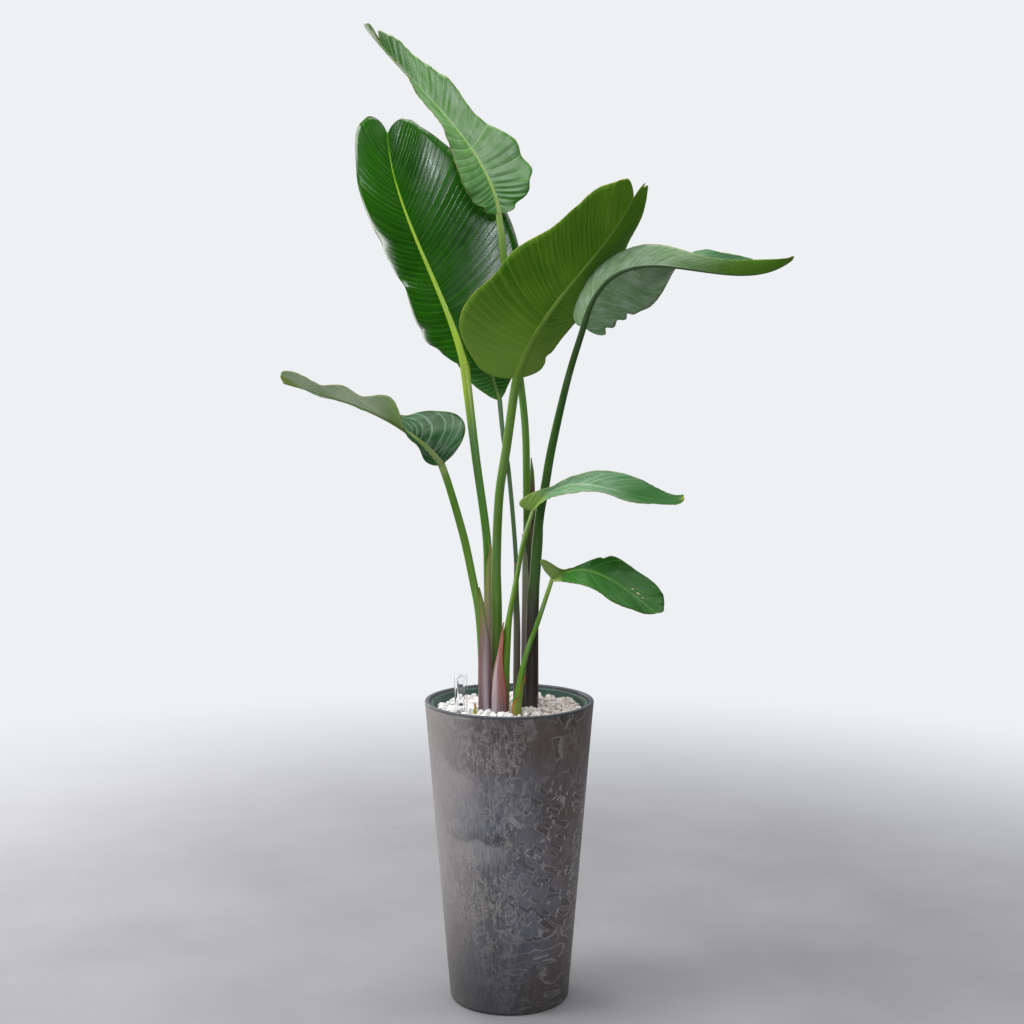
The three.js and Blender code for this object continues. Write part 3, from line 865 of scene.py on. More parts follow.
@dataclass(frozen=True)
class PumiceFinish:
    """Pale, pitted volcanic stone, each stone a little different."""

    name: str = "pumice_stone"
    dull: str = "#f0edea"
    bright: str = "#ffffff"
    # brown: colour of the stones towards the right, partly painted shade.
    brown: str = "#cbbfb6"
    grey: str = "#b0a69c"
    hollow: str = "#938981"

    def material(self) -> bpy.types.Material:
        """Material with pits in relief, darkened by painted shade, and stones that turn browner and
        darker to the right, partly painted shade.

        Returns:
            The material.
        """
        w = Surface(self.name)
        shade = w.read("shade")
        here = w.local()
        cloud = w.cloud(here, 130.0, 4.0, 0.65)
        base = w.blend(shade, self.dull, self.bright)
        # Stones towards the right turn browner and darker: partly their own tone, partly painted shade
        # from the stems.
        x = w.add("SeparateXYZ", {0: here}).outputs[0]
        browner_and_shaded = w.ranged(w.plus(x, w.times(shade, 0.04)), 0.0, 0.09, 0.0, 0.8)
        base = w.blend(browner_and_shaded, base, self.brown)
        colour = w.blend(w.ranged(cloud, 0.4, 0.75, 0.0, 0.25), base, self.grey)
        pits = w.add("TexVoronoi", {"Vector": here, "Scale": 420.0})
        pit = w.ranged(pits.outputs["Distance"], 0.15, 0.42, 1.0, 0.0)
        # Painted shade: the pits are darkened towards the hollow colour.
        colour = w.blend(w.times(pit, 0.15), colour, self.hollow)
        height = w.minus(cloud, w.times(pit, 0.8))
        return w.finish(colour, 0.92, height, 0.8, 0.0012)


@dataclass(frozen=True)
class ClearFinish:
    """Clear moulded plastic of the gauge."""

    name: str
    tone: str
    clear: float
    bending: float = 1.1

    def material(self) -> bpy.types.Material:
        """Transmitting material with faint scuffs in its roughness.

        Returns:
            The material.
        """
        w = Surface(self.name)
        w.shader.inputs["Base Color"].default_value = tint(self.tone)
        w.shader.inputs["Transmission Weight"].default_value = self.clear
        w.shader.inputs["IOR"].default_value = self.bending
        scuff = w.cloud(w.place(w.local(), (1.0, 1.0, 0.1)), 300.0, 3.0)
        w.feed(w.shader.inputs["Roughness"], w.ranged(scuff, 0.4, 0.8, 0.02, 0.08))
        return w.material


# Leaves and stalks

class Side(Enum):
    """Half of a blade as seen from its upper face with the tip up."""

    LEFT = -1
    RIGHT = 1


@dataclass(frozen=True)
class Nip:
    """A small bite or curl of a margin.

    The place and the width are shares of the rib, the pull is the share of the vein that is
    missing and the lift is in millimetres.
    """

    place: float
    width: float
    pull: float
    lift: float = 0.0


@dataclass(frozen=True)
class Half:
    """One half of a blade, with values at even steps from its base to its tip.

    Lengths are in millimetres and angles in degrees.
    """

    veins: Numbers
    fold: Numbers
    curl: Numbers
    ruffle: Numbers
    sweep: Numbers = (-20, 32, 62)
    frill: float = 1.5
    nips: tuple[Nip, ...] = ()


@dataclass(frozen=True)
class Sheath:
    """Sleeve round the foot of a stalk, open on one side and drawn out to a point.

    The top is a height and grow the room round the stalk, in millimetres, facing and wrap are in
    degrees, and the rest are shares: how much more room the foot has, and how much less of the
    stalk the sleeve goes round higher up and at its point.
    """

    top: float
    facing: float
    finish: SheathFinish
    wrap: float = 150.0
    grow: float = 1.6
    swell: float = 0.6
    narrowing: float = 0.62
    pointing: float = 0.3


@dataclass
class Leaf:
    """A blade with its rib, its stalk and its sheath, in millimetres.

    The rib has four points from its base to its tip, the face says which way the upper side
    looks along it, and the stalk has points with widths from the blade down to the soil. The
    strays are sine waves by which the side veins leave their even steps.
    """

    name: str
    rib: tuple[Numbers, ...]
    face: tuple[Numbers, ...]
    right: Half
    left: Half
    stalk: tuple[Numbers, ...]
    sheath: Sheath
    upper: BladeFinish
    lower: BladeFinish
    stem: StalkFinish
    ribs: StalkFinish
    pitch: float = 9.0
    pleat: float = 0.9
    slant: float = 0.0
    measured: int = 40
    rows_per_pleat: int = 5
    fewest_rows: int = 40
    columns: int = 30
    ribwards: float = 0.35
    lamina: float = 0.9
    round_base: float = 0.05
    round_tip: float = 0.08
    round_left: float = 0.04
    crowd: float = 0.08
    vein_bow: float = 0.15
    direction_step: float = 1e-3
    stalk_sides: int = 28
    stalk_rings: int = 90
    stalk_groove: float = 0.3
    stalk_groove_width: float = 0.42
    flat_from: float = 0.93
    flat_height: float = 0.4
    stalk_depth: float = 0.85
    rib_sides: int = 20
    rib_rings: int = 60
    rib_tip: float = 1.6
    rib_rise: float = 0.34
    rib_drop: float = 0.85
    rib_groove: float = 0.12
    rib_groove_width: float = 0.35
    rib_taper: float = 0.6
    sheath_columns: int = 36
    sheath_rows: int = 60
    sheath_wall: float = 0.9
    rim_flare: float = 0.8
    tip_flare: float = 1.2
    vein_wobble: float = 0.03
    strays: tuple[Numbers, ...] = ((0.3, 17.3, 1.0), (0.22, 41.7, 2.0))
    calm_ends: float = 0.12
    slow_waves: float = 9.0
    fine_waves: float = 26.0

    def __post_init__(self) -> None:
        """Works out the rib's Bezier points and its length."""
        p0, p1, p2, p3 = [Vector(p) for p in self.rib]
        leave = (-5 * p0 + 18 * p1 - 9 * p2 + 2 * p3) / 6
        arrive = (2 * p0 - 9 * p1 + 18 * p2 - 5 * p3) / 6
        self.bezier = (p0, leave, arrive, p3)
        steps = [self.rib_point(i / self.measured) for i in range(self.measured + 1)]
        self.length = sum((b - a).length for a, b in zip(steps, steps[1:]))
        self.pleats = self.length / self.pitch
        self.seed = float(sum(ord(c) for c in self.name) % 97)

    def rib_point(self, s: float) -> Vector:
        """Point of the rib.

        Args:
            s: place from the base, 0, to the tip, 1.

        Returns:
            The point.
        """
        p0, p1, p2, p3 = self.bezier
        r = 1 - s
        return r ** 3 * p0 + 3 * r * r * s * p1 + 3 * r * s * s * p2 + s ** 3 * p3

    def rib_along(self, s: float) -> Vector:
        """Direction of the rib.

        Args:
            s: place from the base, 0, to the tip, 1.

        Returns:
            The unit direction.
        """
        p0, p1, p2, p3 = self.bezier
        r = 1 - s
        return (r * r * (p1 - p0) + 2 * r * s * (p2 - p1) + s * s * (p3 - p2)).normalized()

    def frame_at(self, s: float) -> Axes:
        """Frame of the rib.

        Args:
            s: place from the base, 0, to the tip, 1.

        Returns:
            The point, the direction along, the upward direction and the one across.
        """
        face = spline([Vector(f) for f in self.face], s)
        along = self.rib_along(s)
        up, across = faced(along, face)
        return self.rib_point(s), along, up, across

    def phase(self, s: float, v: float) -> float:
        """Count of side veins from the base up to a place on the blade, unevenly spaced.

        Args:
            s: place along the rib.
            v: place from the rib to the margin.

        Returns:
            The count, which is whole on a vein.
        """
        s -= self.slant * v
        uneven = sum(height * math.sin(waves * s + start * self.seed)
                     for height, waves, start in self.strays)
        return self.pleats * s + uneven

    def rounding(self, s: float) -> float:
        """Rounding of the blade's base and tip.

        Args:
            s: place along the rib.

        Returns:
            The share of its full length that a vein has there.
        """
        base = 1 - min(1.0, s / self.round_base)
        tip = 1 - min(1.0, (1 - s) / self.round_tip)
        return max(self.round_left, math.sqrt(1 - base * base) * math.sqrt(1 - tip * tip))

    def blade_point(self, at: Axes, side: Side, s: float, v: float) -> tuple[Vector, float]:
        """Point of the blade, with its pleats and frilled margin.

        Args:
            at: the rib's frame there.
            side: the half of the blade.
            s: place along the rib.
            v: place from the rib, 0, to the margin, 1.

        Returns:
            The point and the length of its vein.
        """
        point, along, up, across = at
        half = self.right if side is Side.RIGHT else self.left
        wobble = noise.noise(Vector((self.slow_waves * s, side.value * 3.0, self.seed)))
        length = spline(half.veins, s) * self.rounding(s) * (1 + self.vein_wobble * wobble * v)
        lift = 0.0
        for nip in half.nips:
            near = math.exp(-((s - nip.place) / nip.width) ** 2)
            length *= 1 - nip.pull * near * v
            lift += nip.lift * near * v ** 3
        sweep = math.radians(spline(half.sweep, s))
        fold = math.radians(spline(half.fold, s))
        curl = math.radians(spline(half.curl, s)) or 1e-3
        height, count, start = half.ruffle
        turn = fold + curl * v
        out = length * math.cos(sweep) * (math.sin(turn) - math.sin(fold)) / curl
        rise = length * math.cos(sweep) * (math.cos(fold) - math.cos(turn)) / curl
        forward = length * (v * math.sin(sweep) + self.vein_bow * (v * v - v))
        taper = smooth(0.0, self.calm_ends, s) * smooth(1.0, 1 - self.calm_ends, s)
        wave = height * math.sin(2 * math.pi * (count * s + start)) * v * v
        wave *= math.sqrt(max(0.0, math.sin(math.pi * s)))
        frill = noise.noise(Vector((self.fine_waves * s, side.value * 7.0, self.seed)))
        frill *= half.frill * v ** 3 * taper
        pleated = self.pleat * (abs(math.sin(math.pi * self.phase(s, v))) - 0.6)
        pleated *= smooth(0.0, 0.2, v) * lerp(1.0, 0.45, smooth(0.55, 1.0, v)) * taper
        normal = math.cos(turn) * up - side.value * math.sin(turn) * across
        return (point + side.value * out * across + (rise + wave + frill + lift) * up + forward * along
                + pleated * normal), length

    def blade(self) -> bpy.types.Object:
        """Makes the blade as a pleated sheet with its attributes and gives it its thickness.

        Returns:
            The dressed blade.
        """
        rows = max(self.fewest_rows, round(self.pleats * self.rows_per_pleat))
        bm, layers = grid(self.columns, rows, ("reach", "course", "pleat", "across", "span"))
        frames: dict[int, Axes] = {}
        for vert in bm.verts:
            even, v = (vert.co.y + 1) / 2, abs(vert.co.x)
            s = min(1.0, max(0.0, even - self.crowd * math.sin(2 * math.pi * even)))
            v = lerp(v, v * v, self.ribwards)
            side = Side.RIGHT if vert.co.x >= 0 else Side.LEFT
            at = frames.setdefault(round(even * rows), self.frame_at(s))
            place, length = self.blade_point(at, side, s, v)
            vert[layers["reach"]] = v
            vert[layers["course"]] = s
            vert[layers["pleat"]] = self.phase(s, v)
            vert[layers["across"]] = side.value * v * length * MM
            vert[layers["span"]] = length * MM
            vert.co = place * MM
        piece = finish_mesh(bm, "leaf_" + self.name)
        thicken(piece, self.lamina * MM, under=1)
        faces = [self.upper.material(), self.lower.material()]
        return dress(piece, ("blade_" + self.name,), faces)

    def rod(self, name: str, place: Callable[[float, float], Vector], sides: int,
            rings: int) -> bpy.types.Object:
        """A closed rod from a rule for its surface.

        Args:
            name: name of the piece.
            place: rule from turn and climb, both 0 to 1, to a point in millimetres.
            sides: steps round it.
            rings: steps along it.

        Returns:
            The rod, with turn and climb as attributes.
        """
        bm, layers = grid(sides, rings, ("turn", "climb"))
        for vert in bm.verts:
            turn, climb = (vert.co.x + 1) / 2, (vert.co.y + 1) / 2
            vert[layers["turn"]] = abs(2 * turn - 1)
            vert[layers["climb"]] = climb
            vert.co = place(turn, climb) * MM
        bmesh.ops.remove_doubles(bm, verts=bm.verts, dist=WELD)
        bmesh.ops.holes_fill(bm, edges=[e for e in bm.edges if e.is_boundary], sides=0)
        bmesh.ops.recalc_face_normals(bm, faces=bm.faces)
        return finish_mesh(bm, name, 60.0)

    def rib_rod(self) -> bpy.types.Object:
        """Makes the rib, nearly flush above the blade and standing proud below it.

        Returns:
            The dressed rib.
        """
        wide = self.stalk[0][3]

        def place(turn: float, climb: float) -> Vector:
            """Point of the rib's surface.

            Args:
                turn: place round it.
                climb: place along it.

            Returns:
                The point in millimetres.
            """
            point, _, up, across = self.frame_at(climb)
            half = lerp(wide, self.rib_tip, climb ** self.rib_taper) / 2
            angle = 2 * math.pi * turn
            over, high = math.cos(angle), math.sin(angle)
            lift = (self.rib_rise if high > 0 else self.rib_drop) * high
            if high > 0:
                lift -= self.rib_groove * math.exp(-(over / self.rib_groove_width) ** 2)
            return point + across * over * half + up * lift * half

        piece = self.rod("rib_" + self.name, place, self.rib_sides, self.rib_rings)
        return dress(piece, ("blade_" + self.name,), [self.ribs.material()])

    def stations(self) -> tuple[list[Vector], list[float]]:
        """Measures of the stalk from its foot in the soil to the blade.

        Returns:
            Its centres and its widths.
        """
        foot = self.stalk[-1]
        low = (foot[0], foot[1], SOIL_TOP / MM - FOOT_DEPTH, foot[3])
        listed = [*self.stalk, low][::-1]
        return [Vector(p[:3]) for p in listed], [p[3] for p in listed]

    def stalk_frame(self, centres: list[Vector], t: float) -> Axes:
        """Frame of the stalk.

        Args:
            centres: the stalk's centres.
            t: place from its foot, 0, to the blade, 1.

        Returns:
            The point, the direction along, the upward direction and the one across.
        """
        point = spline(centres, t, True)
        ahead = spline(centres, min(1, t + self.direction_step), True)
        behind = spline(centres, max(0, t - self.direction_step), True)
        along = (ahead - behind).normalized()
        up, across = faced(along, Vector(self.face[0]))
        return point, along, up, across

    def stalk_rod(self) -> bpy.types.Object:
        """Makes the stalk, a tapering rod with a groove on its upper side.

        Returns:
            The dressed stalk.
        """
        centres, widths = self.stations()

        def place(turn: float, climb: float) -> Vector:
            """Point of the stalk's surface.

            Args:
                turn: place round it.
                climb: place along it.

            Returns:
                The point in millimetres.
            """
            point, _, up, across = self.stalk_frame(centres, climb)
            half = spline(widths, climb) / 2
            angle = 2 * math.pi * turn
            over, high = math.cos(angle), math.sin(angle)
            if high > 0:
                hollow = self.stalk_groove * math.exp(-(over / self.stalk_groove_width) ** 2)
                flat = lerp(1.0, self.flat_height, smooth(self.flat_from, 1.0, climb))
                high = (high - hollow) * flat
            return point + across * over * half + up * high * half * self.stalk_depth

        piece = self.rod("stalk_" + self.name, place, self.stalk_sides, self.stalk_rings)
        return dress(piece, ("petiole_" + self.name,), [self.stem.material()])

    def sheath_sleeve(self) -> bpy.types.Object:
        """Makes the sheath, a sleeve that wraps the foot of the stalk and ends in a point.

        Returns:
            The dressed sheath.
        """
        centres, widths = self.stations()
        heights = [c.z for c in centres]
        high = next(i for i, z in enumerate(heights) if z > self.sheath.top)
        share = (self.sheath.top - heights[high - 1]) / (heights[high] - heights[high - 1])
        top = (high - 1 + share) / (len(centres) - 1)
        middle = math.radians(self.sheath.facing)
        bm, layers = grid(self.sheath_columns, self.sheath_rows, ("turn", "climb", "rim"))
        for vert in bm.verts:
            over, climb = vert.co.x, (vert.co.y + 1) / 2
            t = top * climb
            point, along, _, _ = self.stalk_frame(centres, t)
            closed = 1 - self.sheath.narrowing * smooth(0.35, 0.9, climb)
            closed -= self.sheath.pointing * smooth(0.85, 1.0, climb)
            angle = middle + math.radians(self.sheath.wrap) * closed * over
            radius = spline(widths, t) / 2 * lerp(0.96, 0.9, climb)
            radius += self.sheath.grow * (1 + self.sheath.swell * (1 - climb))
            radius += self.rim_flare * smooth(0.85, 1.0, abs(over))
            radius += self.tip_flare * smooth(0.9, 1.0, climb)
            outward = Vector((math.cos(angle), math.sin(angle), 0.0))
            outward = (outward - outward.dot(along) * along).normalized()
            vert[layers["turn"]] = over / 2 + 0.5
            vert[layers["climb"]] = climb
            vert[layers["rim"]] = max(abs(over), smooth(0.9, 1.0, climb))
            vert.co = (point + outward * radius) * MM
        piece = finish_mesh(bm, "sheath_" + self.name)
        thicken(piece, self.sheath_wall * MM)
        return dress(piece, ("petiole_" + self.name,), [self.sheath.finish.material()])

    def build(self) -> None:
        """Makes the four pieces of the leaf."""
        self.blade()
        self.rib_rod()
        self.stalk_rod()
        self.sheath_sleeve()


def upper(name: str, deep: str, light: str, vein: str, margin: str = "#a39a4a",
          **more: object) -> BladeFinish:
    """Finish of a glossy upper face."""
    return BladeFinish("upper_" + name, deep, light, vein, margin, **more)


def under(name: str, deep: str, light: str, vein: str, margin: str = "#b5a95a",
          **more: object) -> BladeFinish:
    """Finish of a duller, paler underside."""
    values = {"roughness": 0.5, "gloss": 0.2, "line": 0.35, "relief": 0.6, **more}
    return BladeFinish("under_" + name, deep, light, vein, margin, **values)


LEAVES = [
    Leaf(
        "top",
        rib=((-20, 20, 1580), (-77, 10, 1705), (-173, -20, 1813), (-271, -70, 1915)),
        face=((0.64, -0.64, 0.42), (0.77, -0.37, 0.51), (0.8, -0.26, 0.53)),
        right=Half((28, 125, 76, 77, 72, 54, 26), (10, 30, 35), (0, 0, 0), (4, 4, 0.2), frill=3.0,
                   nips=(Nip(0.9, 0.018, 0.55, 3), Nip(0.06, 0.02, 0.14, -6), Nip(0.13, 0.02, 0.12, 5),
                         Nip(0.2, 0.025, 0.1, -4))),
        left=Half((30, 100, 94, 92, 80, 60, 36), (0, 10, 28), (0, 0, 0), (4, 4, 0.6), frill=3.0,
                  nips=(Nip(0.07, 0.02, 0.1, 6), Nip(0.14, 0.02, 0.14, -5))),
        stalk=((-20, 20, 1580, 15), (-11, 26, 1495, 15), (5, 33, 1370, 16), (25, 37, 1225, 16),
               (33, 38, 1134, 16), (35, 38, 1018, 16), (36, 37, 929, 17), (36, 37, 800, 18),
               (34, 36, 600, 18)),
        sheath=Sheath(940, 215, SheathFinish("sheath_top", "#2c2220", "#7a6a6a", "#7f8464",
                                             edge="#8a7a66", bloom=0.5)),
        upper=upper("top", "#2c6c10", "#548c2a", "#a8ca8c", roughness=0.36, gloss=0.8, line=0.4,
                    bloom=0.2,
                    zones=(Zone(0.4, 0.05, "#2f7a14", 0.6), Zone(0.66, 0.92, "#285604", 0.85))),
        lower=under("top", "#7a9c70", "#a3bf98", "#bdd2b2", bloom=0.5),
        stem=StalkFinish("stem_top", "#6f9c38", "#44741c", "#3c3a2a", 0.26, 0.46, high="#93b056"),
        ribs=StalkFinish("rib_top", "#a5c064", "#80a048"),
        pitch=13.0, pleat=1.5,
    ),
    Leaf(
        "left_large",
        rib=((-90, 60, 1280), (-145, 80, 1435), (-210, 95, 1590), (-245, 100, 1745)),
        face=((0.1, -1, 0.1), (-0.1, -1, 0.15), (-0.2, -1, 0.2)),
        right=Half((80, 160, 200, 192, 158, 108, 45), (10, 8, 5), (0, -10, -15), (5, 3, 0),
                   sweep=(-5, 32, 62)),
        left=Half((20, 86, 93, 122, 137, 130, 60), (-15, -20, -15), (-50, -40, -30), (14, 3, 0.35),
                  sweep=(0, 32, 62),
                  nips=(Nip(0.1, 0.02, 0.07, 6), Nip(0.19, 0.025, 0.08, -8), Nip(0.34, 0.03, 0.07, 9),
                        Nip(0.5, 0.03, 0.06, -7))),
        stalk=((-90, 60, 1280, 19), (-68, 48, 1098, 17), (-47, 40, 944, 17), (-42, 38, 851, 20),
               (-40, 37, 725, 22), (-39, 36, 600, 22)),
        sheath=Sheath(925, 305, SheathFinish("sheath_left_large", "#5a3c38", "#93706a", "#9aa050",
                                             edge="#7a3c2c", bloom=0.25)),
        upper=upper("left_large", "#0c3c00", "#266404", "#5a9a20", "#7a5f2c", roughness=0.24, gloss=0.42,
                    line=0.25, relief=0.25),
        lower=under("left_large", "#5a7f40", "#759758", "#93ae7c"),
        stem=StalkFinish("stem_left_large", "#6aa02c", "#3f7a14", "#6b5a50", 0.24, 0.42, high="#9cba2c"),
        ribs=StalkFinish("rib_left_large", "#b8d22c", "#90b61e", "#9cba2c", 0.0, 0.1, bloom=0.0),
        pitch=11.5, pleat=0.4, slant=0.03,
    ),
    Leaf(
        "front",
        rib=((15, -20, 1255), (78, -60, 1380), (163, -90, 1487), (235, -120, 1595)),
        face=((-0.3, 1, 0), (-0.3, 0.9, 0.2), (-0.3, 0.8, 0.3)),
        right=Half((60, 145, 137, 122, 120, 92, 45), (8, 5, 5), (0, 0, 0), (5, 3, 0.1),
                   nips=(Nip(0.62, 0.03, 0.03, 3), Nip(0.3, 0.04, 0.03, -3))),
        left=Half((58, 78, 112, 125, 105, 86, 56), (20, 30, 30), (20, 20, 20), (5, 3, 0.5),
                  sweep=(0, 32, 70),
                  nips=(Nip(0.1, 0.02, 0.1, 5), Nip(0.94, 0.016, 0.2, 2))),
        stalk=((15, -20, 1255, 18), (9, -18, 1222, 18), (-5, -10, 1121, 18), (-20, -3, 1021, 18),
               (-26, 5, 888, 19), (-25, 9, 786, 21), (-25, 10, 600, 22)),
        sheath=Sheath(760, 60, SheathFinish("sheath_front", "#3a2620", "#5c4438", "#607a3a")),
        upper=upper("front", "#1b5410", "#2a6f1c", "#4f8a38"),
        # The underside's zone lightens it towards the base: painted light.
        lower=under("front", "#3b6e08", "#648f20", "#8fb44c", "#b5ad48", line=0.3, width=0.14,
                    patches=0.6, gloss=0.12, zones=(Zone(0.34, 0.06, "#8aaa48", 0.6),)),
        stem=StalkFinish("stem_front", "#7aa044", "#4c7824", "#54402c", 0.1, 0.3, high="#6a8e2a"),
        ribs=StalkFinish("rib_front", "#7c9c30", "#5c8422", bloom=0.0),
        pitch=9.5, pleat=0.75, slant=0.04,
    ),
    Leaf(
        "arching",
        rib=((143, -85, 1354), (243, -105, 1465), (396, -100, 1454), (541, -90, 1480)),
        face=((-0.4, 1, 0.1), (0, 0.5, 0.85), (0, -0.1, 1)),
        right=Half((35, 40, 47, 39, 42, 49, 22), (55, 60, 40), (20, 10, 20), (3, 3, 0)),
        left=Half((60, 96, 117, 92, 84, 62, 20), (5, 5, 12, 68, 52, 25, 15), (0, 10, 10), (4, 3, 0.2),
                  sweep=(-30, 10, 40, 48, 60),
                  nips=(Nip(0.05, 0.012, 0.16, 4), Nip(0.1, 0.014, 0.14, -5), Nip(0.15, 0.012, 0.1, 3))),
        stalk=((143, -85, 1354, 13), (113, -64, 1251, 14), (84, -40, 1122, 17), (70, -26, 1038, 18),
               (59, -13, 972, 19), (50, 3, 856, 20), (46, 8, 756, 22), (44, 10, 600, 22)),
        # The arching leaf's sheath takes darker, near-black browns than the others: painted shade, as it
        # stands shaded and back-lit.
        sheath=Sheath(975, 300, SheathFinish("sheath_arching", "#1c1410", "#33291f", "#3f6a24",
                                             edge="#46602c", bloom=0.12)),
        upper=upper("arching", "#1f5226", "#3a6e3c", "#86b08c", gloss=0.15, bloom=0.1),
        lower=under("arching", "#67905a", "#94ae86", "#ccd8c0", "#8a7a3c", line=0.4, width=0.08,
                    bloom=0.45, zones=(Zone(0.4, 0.74, "#5c8e10", 0.95), Zone(0.93, 1.0, "#98901c"))),
        # Its stalk takes darker greens than the others: painted shade.
        stem=StalkFinish("stem_arching", "#4c7a28", "#254c12", "#1d1610", 0.14, 0.36, high="#3a5828"),
        ribs=StalkFinish("rib_arching", "#46652f", "#2c4a20"),
        pitch=13.0, pleat=1.2, slant=0.1,
    ),
    Leaf(
        "back",
        rib=((-20, 105, 1210), (-45, 150, 1320), (-55, 185, 1435), (-60, 205, 1540)),
        face=((0, -1, 0), (0, -1, 0.1), (0, -1, 0.2)),
        right=Half((10, 50, 90, 105, 105, 80, 25), (15, 15), (0, 0), (5, 3, 0.3)),
        left=Half((10, 55, 85, 105, 105, 80, 25), (15, 15), (0, 0), (5, 3, 0)),
        stalk=((-20, 105, 1210, 10), (-12, 92, 1129, 9), (-1, 80, 1061, 9), (13, 62, 894, 9),
               (15, 54, 774, 9), (15, 50, 600, 11)),
        sheath=Sheath(880, 250, SheathFinish("sheath_back", "#4a3f36", "#6e6354", "#5c7448", bloom=0.3)),
        upper=upper("back", "#1c4f0c", "#2f6a18", "#55853c"),
        lower=under("back", "#4f7a3c", "#6a9450", "#8aa872"),
        stem=StalkFinish("stem_back", "#5f8450", "#36602c", "#6c5f50", 0.3, 0.5),
        ribs=StalkFinish("rib_back", "#7a8c42", "#5a7432"),
        pitch=8.0, pleat=0.5,
    ),
    Leaf(
        "left_low",
        rib=((-135, -5, 1085), (-230, -15, 1166), (-340, -25, 1214), (-440, -30, 1244)),
        face=((-0.3, -0.9, 0.4), (0, 0.15, 1), (0.1, 0, 1)),
        right=Half((15, 103, 50, 50, 45, 42, 17), (5, 5, 0), (10, 0, 0), (3, 4, 0),
                   sweep=(-35, 20, 60), nips=(Nip(0.22, 0.02, 0.06, 3), Nip(0.3, 0.02, 0.07, -3))),
        left=Half((12, 22, 14, 36, 58, 50, 40, 46, 46, 54, 66, 40, 19), (0, 15, 50, 38, 30, 32, 40),
                  (10, 0, 10), (4, 5, 0.35)),
        stalk=((-135, -5, 1085, 15), (-118, -4, 1035, 15), (-90, -2, 935, 16), (-71, -3, 844, 16),
               (-60, -4, 787, 18), (-52, -6, 710, 23), (-50, -6, 600, 22)),
        sheath=Sheath(838, 325, SheathFinish("sheath_left_low", "#6e565a", "#8f6a66", "#93a04a",
                                             edge="#8a4434", bloom=0.9, bloom_at=0.3),
                      wrap=105, grow=2.9),
        upper=upper("left_low", "#143e16", "#2c5f2c", "#93b49a", roughness=0.3, gloss=0.25, line=0.4,
                    width=0.12, bloom=0.15, zones=(Zone(0.86, 0.95, "#7f9c14"),)),
        lower=under("left_low", "#86a85e", "#d6e6c4", "#f6faee", line=0.5, width=0.12, bloom=0.35,
                    zones=(Zone(0.5, 0.3, "#688c2a", 0.85), Zone(0.84, 0.92, "#86a820"))),
        stem=StalkFinish("stem_left_low", "#74a034", "#457618", "#7a6040", 0.14, 0.32, high="#7a9644"),
        ribs=StalkFinish("rib_left_low", "#8aa350", "#6a863a"),
        pitch=13.0, pleat=1.6, slant=0.16,
    ),
    Leaf(
        "right_mid",
        rib=((45, -90, 1000), (133, -100, 1050), (233, -105, 1031), (336, -105, 1024)),
        face=((-0.1, -0.3, 0.8), (0.1, -0.25, 1), (0.2, -0.2, 1)),
        right=Half((12, 48, 49, 43, 44, 40, 10), (10, 5, 5), (10, -10, 0), (3, 3, 0)),
        left=Half((40, 26, 12, 14, 22, 47, 70, 74, 66, 60, 50, 32, 10), (80, 20, 15), (0, 0, 0),
                  (3, 3, 0.3), sweep=(-30, 25, 60)),
        stalk=((45, -90, 1000, 10), (26, -75, 929, 11), (17, -62, 878, 11), (1, -44, 789, 13),
               (-7, -36, 725, 21), (-14, -32, 664, 31), (-16, -30, 600, 33)),
        sheath=Sheath(775, 205, SheathFinish("sheath_right_mid", "#6b5054", "#9a6860", "#a2604c",
                                             edge="#a83a38", edge_from=0.85, bloom=0.95, bloom_at=0.62),
                      wrap=96, grow=3.2),
        upper=upper("right_mid", "#4c804c", "#7ba278", "#c4dcbe", roughness=0.34, gloss=0.15, line=0.5,
                    bloom=0.3,
                    zones=(Zone(0.15, 0.07, "#8fae4a"), Zone(0.4, 0.72, "#1f5c14", 0.92),
                           Zone(0.95, 1.0, "#a9ac24"))),
        lower=under("right_mid", "#6a9440", "#93b56a", "#b5ca98", bloom=0.35),
        stem=StalkFinish("stem_right_mid", "#82aa38", "#4f801a", "#6a5030", 0.12, 0.34, high="#7f9d58"),
        ribs=StalkFinish("rib_right_mid", "#8faa66", "#6f904a"),
        pitch=11.0, pleat=1.7, slant=0.15,
    ),
    Leaf(
        "right_low",
        rib=((83, -100, 867), (156, -110, 884), (225, -115, 848), (284, -115, 803)),
        face=((-0.1, -0.6, 0.8), (0.3, -0.6, 0.8), (0.4, -0.6, 0.7)),
        right=Half((12, 40, 56, 60, 50, 26, 6), (10, 5, 5), (10, -10, -10), (3, 3, 0.3)),
        left=Half((78, 12, 5, 14, 30, 49, 60, 70, 76, 69, 52, 34, 18), (85, 10, 10), (0, 0, 0),
                  (3, 3, 0), sweep=(2, 22, 60),
                  nips=(Nip(0.31, 0.014, 0.12, 3), Nip(0.37, 0.014, 0.08, -3), Nip(0.74, 0.02, 0.05, 2))),
        stalk=((83, -100, 867, 9), (54, -80, 774, 10), (38, -68, 729, 10), (25, -60, 677, 12),
               (17, -56, 629, 16), (14, -54, 600, 17)),
        sheath=Sheath(672, 335, SheathFinish("sheath_right_low", "#7a7428", "#74902a", "#6f9a2c",
                                             edge="#c4522a", edge_from=0.7, bloom=0.05), wrap=118),
        upper=upper("right_low", "#1a5c0c", "#347c1c", "#6aa048", gloss=0.25, bloom=0.05,
                    zones=(Zone(0.13, 0.04, "#a3bc68"),),
                    spots=((0.68, -0.016, 0.0024), (0.73, -0.016, 0.003), (0.78, -0.015, 0.0018))),
        lower=under("right_low", "#6a9a3c", "#8ab45c", "#a6c080"),
        stem=StalkFinish("stem_right_low", "#78a834", "#467c16", "#68802f", 0.2, 0.3, high="#7f9f44"),
        ribs=StalkFinish("rib_right_low", "#8fac50", "#6f923a"),
